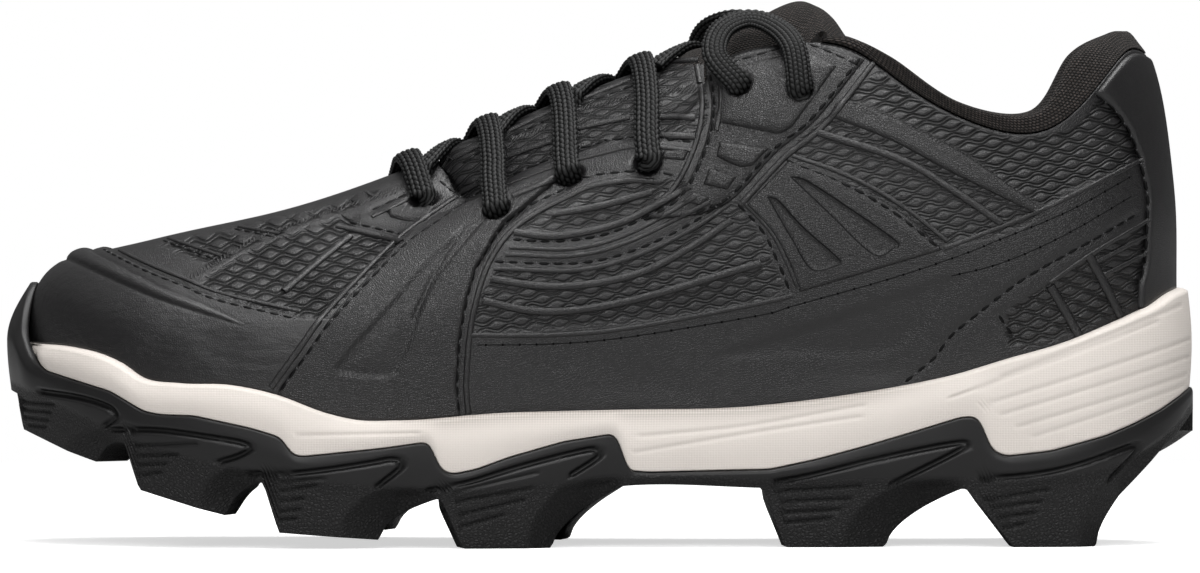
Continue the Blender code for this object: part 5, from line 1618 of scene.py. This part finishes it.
class Tree:
    """A Geometry Nodes tree with named inputs."""

    def __init__(self, name, inputs):
        self.group = bpy.data.node_groups.new(name, 'GeometryNodeTree')
        self.group.interface.new_socket("Geometry", in_out='INPUT', socket_type='NodeSocketGeometry')
        self.keys = {}
        for label, kind, value in inputs:
            socket = self.group.interface.new_socket(label, in_out='INPUT', socket_type=kind)
            self.keys[label] = (socket.identifier, value)
        self.group.interface.new_socket("Geometry", in_out='OUTPUT', socket_type='NodeSocketGeometry')
        self.entry = self.group.nodes.new("NodeGroupInput")
        self.exit = self.group.nodes.new("NodeGroupOutput")

    def add(self, kind, settings, links):
        return add_node(self.group, kind, settings, links)

    def finish(self, geometry, material_socket):
        real = self.add("GeometryNodeRealizeInstances", {}, {"Geometry": geometry})
        painted = self.add("GeometryNodeSetMaterial", {},
                           {"Geometry": real.outputs[0], "Material": material_socket})
        self.group.links.new(painted.outputs[0], self.exit.inputs[0])

    def apply(self, made, name, slot):
        """Run the tree on an object and keep the result as a plain mesh piece."""
        modifier = made.modifiers.new("tree", 'NODES')
        modifier.node_group = self.group
        for identifier, value in self.keys.values():
            modifier[identifier] = value
        bpy.context.view_layer.update()
        graph = bpy.context.evaluated_depsgraph_get()
        mesh = bpy.data.meshes.new_from_object(made.evaluated_get(graph), preserve_all_data_layers=True,
                                               depsgraph=graph)
        bpy.data.objects.remove(made, do_unlink=True)
        return place_piece(name, mesh)


print("skins to lay lines on", len(SKINS))

# %% [markdown]
# Eyelet panels, pads and the fan panel are skins too. Their grids are drawn between lines of the side view
# and laid on the outermost skin of each side, with fewer rows and columns on the inner side.

# %% Straps, pads and the fan panel
STRAP_GRID = (161, 105)
FAN_GRID = (89, 121)
FAN_LIFT, FAN_EDGE, BLADE_DEEP = 0.75, 0.9, 0.6
PAD_STEP = 0.4


def even_line(points, count):
    """A line of the side view read at even distances."""
    return evened(smooth_path(points, 0.5), count)


def patch(lower, upper, rows, columns, lateral, ends=()):
    """Grid of points and normals on the outermost skin of one side, between two lines of the side view and,
    where they are given, two end lines that run upward."""
    up, across = np.linspace(0, 1, rows)[:, None, None], np.linspace(0, 1, columns)[None, :, None]
    flat = even_line(lower, columns) * (1 - up) + even_line(upper, columns) * up
    if ends:
        left, right = [even_line(end, rows)[:, None] for end in ends]
        flat = flat + (left - flat[:, :1]) * (1 - across) + (right - flat[:, -1:]) * across
    grid = np.array([[outermost(*spot, lateral)[0] for spot in row] for row in flat]) / MM
    out = unit(np.cross(np.gradient(grid, axis=1), np.gradient(grid, axis=0)))
    return grid, out * np.sign(out[..., 1].mean()) * (-1 if lateral else 1)


def joined_piece(name, parts, made_of, slot):
    """One piece from several meshes."""
    points, faces, first = [], [], 0
    for spots, blocks in parts:
        points.append(spots)
        faces += [block + first for block in blocks]
        first += len(spots)
    return make_piece(name, np.vstack(points), faces, made_of, None, slot)


def coarser(count):
    return max(BACK_STEP + 1, (count - 1) // (2 * BACK_STEP) * BACK_STEP + 1)


def fan_relief(x, z):
    sunk = [soft(depth_in(blade, x, z, PANEL_REACH) - 0.3, 0.6) for blade in BLADES]
    return -BLADE_DEEP * np.maximum(*sunk)


straps = []
for side_name, lateral in (("lateral", True), ("medial", False)):
    counts = STRAP_GRID if lateral else [coarser(count) for count in STRAP_GRID]
    base, normal = patch(STRAP_FOOT, STRAP_TOP, *counts, lateral, (STRAP_LEFT[::-1], STRAP_RIGHT[::-1]))
    height = dip_holes(base, OVERLAY_LIFT * np.maximum(edge_roll(base, EDGE_REACH, False), 0.3))
    straps.append(make_piece(f"eyelet_panel_{side_name}_skin", *skin_mesh(base, normal, height), OVERLAY,
                             f"eyelet_panel_{side_name}", "overlay_synthetic"))
add_skins(*straps)

pads = []
fans = []
for lateral in (True, False):
    for tall, edge, low_line, high_line in PADS.values():
        long = max(run_of(smooth_path(path))[-1] for path in (low_line, high_line))
        across = np.ptp(side((low_line[0], high_line[0])), axis=0).max()
        counts = [BACK_STEP * max(2, round(size / PAD_STEP / BACK_STEP)) + 1 for size in (across, long)]
        counts = counts if lateral else [coarser(count) for count in counts]
        base, normal = patch(low_line, high_line, *counts, lateral)
        pads.append(skin_mesh(base, normal, dip_holes(base, tall * edge_roll(base, edge, False))))
    counts = FAN_GRID if lateral else [coarser(count) for count in FAN_GRID]
    base, normal = patch(*FAN, *counts, lateral)
    fan_height = FAN_LIFT * edge_roll(base, FAN_EDGE, False) + fan_relief(base[..., 0], base[..., 2])
    fans.append(skin_mesh(base, normal, fan_height))
pads_piece = joined_piece("upper_pads", pads, OVERLAY, "overlay_synthetic")
fan_piece = joined_piece("fan_panels", fans, OVERLAY, "overlay_synthetic")
add_skins(pads_piece, fan_piece)

# %% [markdown]
# One tree turns lines into flat rounded bars. It makes the ribs, and thinner dark ones laid as painted shade
# round the blades and along the needle holes.

# %% Ribs
RIB_FLAT, RIB_ROUND = 0.55, 0.2
LINE_FLAT = 0.14
BLADE_LINE, NEEDLE_LINE = 0.4, 0.32


def bar_tree(name, made_of, flat):
    """Flat rounded bar swept along lines, its flat side to the surface."""
    tree = Tree(name, (("Material", 'NodeSocketMaterial', made_of),))
    size = tree.add("GeometryNodeInputNamedAttribute", {"data_type": 'FLOAT'}, {"Name": "size"})
    out = tree.add("GeometryNodeInputNamedAttribute", {"data_type": 'FLOAT_VECTOR'}, {"Name": "out"})
    path = tree.add("GeometryNodeMeshToCurve", {}, {"Mesh": tree.entry.outputs["Geometry"]})
    facing = tree.add("GeometryNodeSetCurveNormal", {"mode": 'FREE'},
                      {"Curve": path.outputs[0], "Normal": out.outputs[0]})
    bar = tree.add("GeometryNodeCurvePrimitiveQuadrilateral", {}, {"Width": flat * MM, "Height": MM})
    round_bar = tree.add("GeometryNodeFilletCurve", {"mode": 'POLY'},
                         {"Curve": bar.outputs[0], "Radius": RIB_ROUND * flat / RIB_FLAT * MM, "Count": 1})
    swept = tree.add("GeometryNodeCurveToMesh", {},
                     {"Curve": facing.outputs[0], "Profile Curve": round_bar.outputs[0],
                      "Scale": size.outputs[0], "Fill Caps": True})
    tree.finish(swept.outputs[0], tree.entry.outputs["Material"])
    return tree


def both_sides(rows, step):
    """Runs of points on both sides of the shoe, twice as coarse on the inner side."""
    return [(size, run) for size, path in rows for lateral in (True, False)
            for run in drape(smooth_path(path, step if lateral else 2 * step), lateral)]


bar_tree("moulded_bars", SKIN, RIB_FLAT).apply(
    line_mesh("rib_lines", both_sides(RIBS, 1.0)), "upper_ribs", "upper_synthetic")
# Thin dark bars round the blades and along the needle holes: painted shade
shade_line_rows = [(BLADE_LINE, (*path, path[0])) for path in BLADES]
shade_line_rows += [(NEEDLE_LINE, path) for path in NEEDLE_HOLES]
bar_tree("fine_lines", SHADE_LINE, LINE_FLAT).apply(
    line_mesh("line_paths", both_sides(shade_line_rows, 1.0)), "upper_fine_lines", "upper_synthetic")

# %% [markdown]
# The other tree sets a small rounded piece at every pitch of a line: a stitch and its ends, painted pale as
# glints, a slanted tick of a strap, or a needle hole, a dark disc of painted shade.

# %% Stitches, ticks and needle holes
STITCH_PITCH = 3.5
STITCH_SIZE, STITCH_GLINT_SIZE = (2.7, 0.85, 0.35), (0.5, 0.7, 0.4)
TICK_PITCH, TICK_SIZE, TICK_TURN = 0.95, (1.0, 0.16, 0.15), math.radians(60)
NEEDLE_PITCH, NEEDLE_SIZE = 4.0, (0.65, 0.65, 0.14)
ROW_STEP = 0.9


def row_tree(name, made_of, size, turn):
    """Small rounded pieces set on points, turned by an angle on the surface."""
    tree = Tree(name, (("Material", 'NodeSocketMaterial', made_of),))
    named = {key: tree.add("GeometryNodeInputNamedAttribute", {"data_type": kind}, {"Name": key}).outputs[0]
             for key, kind in (("out", 'FLOAT_VECTOR'), ("along", 'FLOAT_VECTOR'), ("size", 'FLOAT'))}
    ball = tree.add("GeometryNodeMeshUVSphere", {}, {"Segments": 6, "Rings": 4, "Radius": 0.5})
    shaped = tree.add("GeometryNodeTransform", {},
                      {"Geometry": ball.outputs[0], "Scale": tuple(MM * c for c in size)})
    angled = tree.add("GeometryNodeTransform", {},
                      {"Geometry": shaped.outputs[0], "Rotation": (0.0, 0.0, turn)})
    facing = tree.add("FunctionNodeAxesToRotation", {"primary_axis": 'Z', "secondary_axis": 'X'},
                      {"Primary Axis": named["out"], "Secondary Axis": named["along"]})
    placed = tree.add("GeometryNodeInstanceOnPoints", {},
                      {"Points": tree.entry.outputs["Geometry"], "Instance": angled.outputs[0],
                       "Rotation": facing.outputs[0], "Scale": named["size"]})
    tree.finish(placed.outputs[0], tree.entry.outputs["Material"])
    return tree


def row_mesh(name, rows, pitch, shift):
    """Points at a pitch along lines on both sides, with the surface's normal, the direction and a size."""
    blocks, sizes = [], []
    for size, run in both_sides(rows, ROW_STEP):
        points, normals = [np.array(values) for values in zip(*run)]
        travelled = run_of(points) / MM
        at = np.arange(shift * pitch, travelled[-1], pitch)
        columns = np.hstack((points, normals, np.gradient(points, axis=0))).T
        blocks.append(np.column_stack([np.interp(at, travelled, column) for column in columns]))
        sizes.append(np.full(len(at), size))
    spots, outs, alongs = np.split(np.vstack(blocks), 3, axis=1)
    return carrier(name, spots, [], {"out": outs, "along": unit(alongs), "size": np.concatenate(sizes)})


stitch_rows = [(1.0, path) for path in STITCHES]
# Needle holes get flat dark discs: painted shade
needle_rows = [(1.0, path) for path in NEEDLE_HOLES]
# The stitch ends are small beads painted pale as glints
for piece_name, rows, made_of, pitch, shift, size, turn in (
        ("upper_stitches", stitch_rows, THREAD, STITCH_PITCH, 0.5, STITCH_SIZE, 0.0),
        ("upper_stitch_ends", stitch_rows, STITCH_GLINT, STITCH_PITCH, 1.0, STITCH_GLINT_SIZE, 0.0),
        ("upper_ticks", TICKED, OVERLAY, TICK_PITCH, 0.5, TICK_SIZE, TICK_TURN),
        ("upper_needle_holes", needle_rows, NEEDLE_HOLE_SHADE, NEEDLE_PITCH, 0.5, NEEDLE_SIZE, 0.0)):
    row_points = row_mesh(f"{piece_name}_points", rows, pitch, shift)
    row_tree(f"{piece_name}_row", made_of, size, turn).apply(row_points, piece_name, "upper_synthetic")

# %% [markdown]
# ## Laces
# One oval braided lace runs through the eyelets: a bar at the front, three crossings over the tongue and a
# loop at the top of each side. Its strands cross in a chevron braid, modelled as small crowns on a swept
# section.

# %% Lace sections
STRANDS, STRAND_SAMPLES = 12, 4
STRAND_LONG, STRAND_TALL, STRAND_SLANT = 1.12, 0.42, 0.5
TAUT_STRAND = 1.8
BRAID_COLUMNS = STRANDS * STRAND_SAMPLES
BRAID_STEP = STRAND_LONG / STRAND_SAMPLES
LACE_LIFT = LACE_THICK / 2 + 0.25
RIDGE_HALF = 8.0
NEAR_RISE = 1.8
TUCK = -1.2
BEND_ROUNDS = 8
LAID_SPOTS = 44
OVAL_POWER = 0.8
oval_turn = np.linspace(0, 2 * math.pi, 721)
oval = np.column_stack([np.sign(wave) * np.abs(wave) ** OVAL_POWER * size / 2 for wave, size in
                        ((np.cos(oval_turn), LACE_WIDTH), (np.sin(oval_turn), LACE_THICK))])
SECTION = evened(oval, BRAID_COLUMNS + 1)[:-1]
SECTION_OUT = unit(SECTION / (np.array((LACE_WIDTH, LACE_THICK)) / 2) ** 2)
STRAND = np.arange(BRAID_COLUMNS) // STRAND_SAMPLES
STRAND_ACROSS = np.arange(BRAID_COLUMNS) / STRAND_SAMPLES - STRAND - 0.5


def resample(path, step):
    """A smooth path through points, read at a step."""
    dense = smooth_rows(path, np.linspace(0, len(path) - 1, 12 * len(path)))
    return evened(dense, int(run_of(dense)[-1] / step) + 1)


def lace(path, facing, strand):
    """Points of a braided lace along a path, its flat side to a facing, and their heights on the strands."""
    path = resample(path, BRAID_STEP)
    along = unit(np.gradient(path, axis=0))
    broad = unit(np.cross(facing(path), along))
    lift = np.cross(broad, along)
    odd = STRAND % 2
    row = run_of(path)[:, None] / strand + 0.5 * odd + STRAND_SLANT * STRAND_ACROSS * (1 - 2 * odd)
    ahead = row - np.floor(row) - 0.5
    crown = (1 - 4 * STRAND_ACROSS ** 2) * (1 - 4 * ahead ** 2)
    spots = SECTION + SECTION_OUT * (STRAND_TALL * (crown - 0.6))[..., None]
    return path[:, None] + broad[:, None] * spots[..., :1] + lift[:, None] * spots[..., 1:], crown


def lace_piece(name, node, paths, facing, strand):
    points, faces, crowns, first = [], [], [], 0
    for path in paths:
        grid, crown = lace(path, facing, strand)
        rows = len(grid)
        points.append(grid.reshape(-1, 3))
        crowns.append(crown.ravel())
        end = np.arange(BRAID_COLUMNS)[None] + first
        faces += [grid_faces(rows, BRAID_COLUMNS, False, True) + first, end, end + (rows - 1) * BRAID_COLUMNS]
        first += rows * BRAID_COLUMNS
    return make_piece(name, np.vstack(points), faces, BRAID, node, "lace_braid",
                      {"crown": np.concatenate(crowns)})


def cover(x, y, lift):
    """Highest point of the shoe at x, y, lifted along its normal, or nothing over a gap."""
    hits = [tree.ray_cast(Vector((x * MM, y * MM, 0.3)), Vector((0, 0, -1))) for tree in SKINS]
    hits = [hit for hit in hits if hit[0] is not None]
    if not hits:
        return None
    spot, normal = max(hits, key=lambda hit: hit[0].z)[:2]
    return np.array(spot) / MM + np.array(normal) * lift


def taut(path):
    """The path lifted over its hollows, as a stretched lace bridges them."""
    run = run_of(path[:, :2])
    kept = []
    for i in range(len(path)):
        while len(kept) > 1:
            a, b = kept[-2], kept[-1]
            if (path[b, 2] - path[a, 2]) * (run[i] - run[a]) > (path[i, 2] - path[a, 2]) * (run[b] - run[a]):
                break
            kept.pop()
        kept.append(i)
    lifted = path.copy()
    lifted[:, 2] = np.interp(run, run[kept], path[kept, 2])
    for _ in range(BEND_ROUNDS):
        lifted[1:-1] = (lifted[:-2] + 2 * lifted[1:-1] + lifted[2:]) / 4
    return lifted


def out_of_hole(number, lateral, lift):
    """Two points of a lace that leaves a hole: inside it, and just over it."""
    hole, normal = HOLES[number, lateral]
    return np.array((hole - normal * 2.0, hole + normal * lift))


def over(plan, lift, rise=0.0):
    """Points that lie on the shoe along a smooth plan through corners, with some rise at the ridge."""
    corners = smooth_rows(plan, np.linspace(0, len(plan) - 1, 80)) if len(plan) > 2 else np.array(plan)
    spots = evened(corners, LAID_SPOTS)
    laid = [cover(x, y, lift + rise * math.exp(-(y / RIDGE_HALF) ** 2)) for x, y in spots]
    return np.array([spot for spot in laid if spot is not None])


def over_tongue(path):
    """Facing of a lace on the tongue: up at the ridge, outward at the edges."""
    return unit(np.column_stack((np.full(len(path), -0.4), (path[:, 1] - THROAT_MIDDLE) / 16.0,
                                 np.ones(len(path)))))


print("braid columns", BRAID_COLUMNS, "step", BRAID_STEP)

# %% [markdown]
# The bar and the legs of the crossings leave their holes, lie on the tongue and bridge its hollows as a
# taut lace does. Each leg tucks in under the other side's edge.

# %% Bar and crossings
near, far = [out_of_hole(0, lateral, LACE_LIFT) for lateral in (True, False)]
bar = np.vstack((near[1:], over((near[1][:2], far[1][:2]), LACE_LIFT, NEAR_RISE)[4:-4], far[1:]))
bar = np.vstack((near[:1], taut(bar), far[:1]))
lace_piece("lace_bar_braid", "lace_bar", [bar], over_tongue, TAUT_STRAND)
# Legs from a hole over the ridge to the other side's flap: steps forward of the hole, y
NEAR_LEG = ((0.2, -14.0), (0.4, -6.5), (1.2, 1.0), (4.0, 9.0), (8.5, 17.0))
FAR_LEG = ((0.5, 15.0), (3.0, 7.0), (6.0, 1.0), (10.0, -5.5))
LAST_LEG = ((26.0, 17.0), (22.5, 9.0), (18.0, 1.0), (12.5, -6.0))


def leg(number, lateral, steps, rise):
    """A lace from a hole over the ridge, tucked in at its far end."""
    hole = out_of_hole(number, lateral, LACE_LIFT + 0.4)
    plan = [hole[1][:2]] + [(hole[1][0] - forward, y) for forward, y in steps]
    end = cover(*(1.25 * np.array(plan[-1]) - 0.25 * np.array(plan[-2])), TUCK)
    return np.vstack((hole[:1], taut(np.vstack((hole[1:], over(plan, LACE_LIFT, rise)[3:]))), end))


for number in (1, 2, 3):
    legs = [leg(number, True, NEAR_LEG, NEAR_RISE), leg(number, False, FAR_LEG, 0.0)]
    if number == 3:
        legs.append(taut(over(LAST_LEG, LACE_LIFT)))
    lace_piece(f"lace_crossing_{number}_braid", f"lace_crossing_{number}", legs, over_tongue, TAUT_STRAND)

# %% [markdown]
# A loop stands free between the top two holes of each side. Its route is the one of the part's solid.


# %% Loops
def face_outward(path):
    """Facing of a loop: its flat side looks sideways on the legs and a little upward at the top."""
    high = (path[:, 2] - path[:, 2].min()) / np.ptp(path[:, 2])
    sideways = np.sign(path[:, 1].mean() - THROAT_MIDDLE)
    return unit(np.column_stack((np.zeros(len(path)), sideways * (1 - 0.4 * high), 0.35 + 0.45 * high)))


for side_name, lateral in (("lateral", True), ("medial", False)):
    holes = [out_of_hole(number, lateral, LACE_LIFT + 1.0) for number in (4, 5)]
    arch = np.array(LACE_LOOP)
    arch[:, 1] = THROAT_MIDDLE + arch[:, 1] * (-1 if lateral else 1)
    arch[:, 0] -= 0 if lateral else EYELETS[4][2]
    knots = np.vstack((holes[0][1], arch, holes[1][1]))
    loop = lace_piece(f"lace_loop_{side_name}_braid", f"lace_loop_{side_name}",
                      [np.vstack((holes[0][:1], knots, holes[1][:1]))], face_outward, STRAND_LONG)
    path = resample(knots, 1.0)
    tuple(path[0] * MM)
    [tuple(spot * MM) for spot in path]

# %% [markdown]
# ## Finish
# The triangles of the finished pieces are counted and printed.

# %% Triangles of the pieces
bpy.context.view_layer.update()
counts = {piece.name: sum(len(face.vertices) - 2 for face in piece.data.polygons)
          for piece in scene.objects if piece.type == 'MESH'}
print("triangles in all", sum(counts.values()), "largest", max(counts, key=counts.get), max(counts.values()))
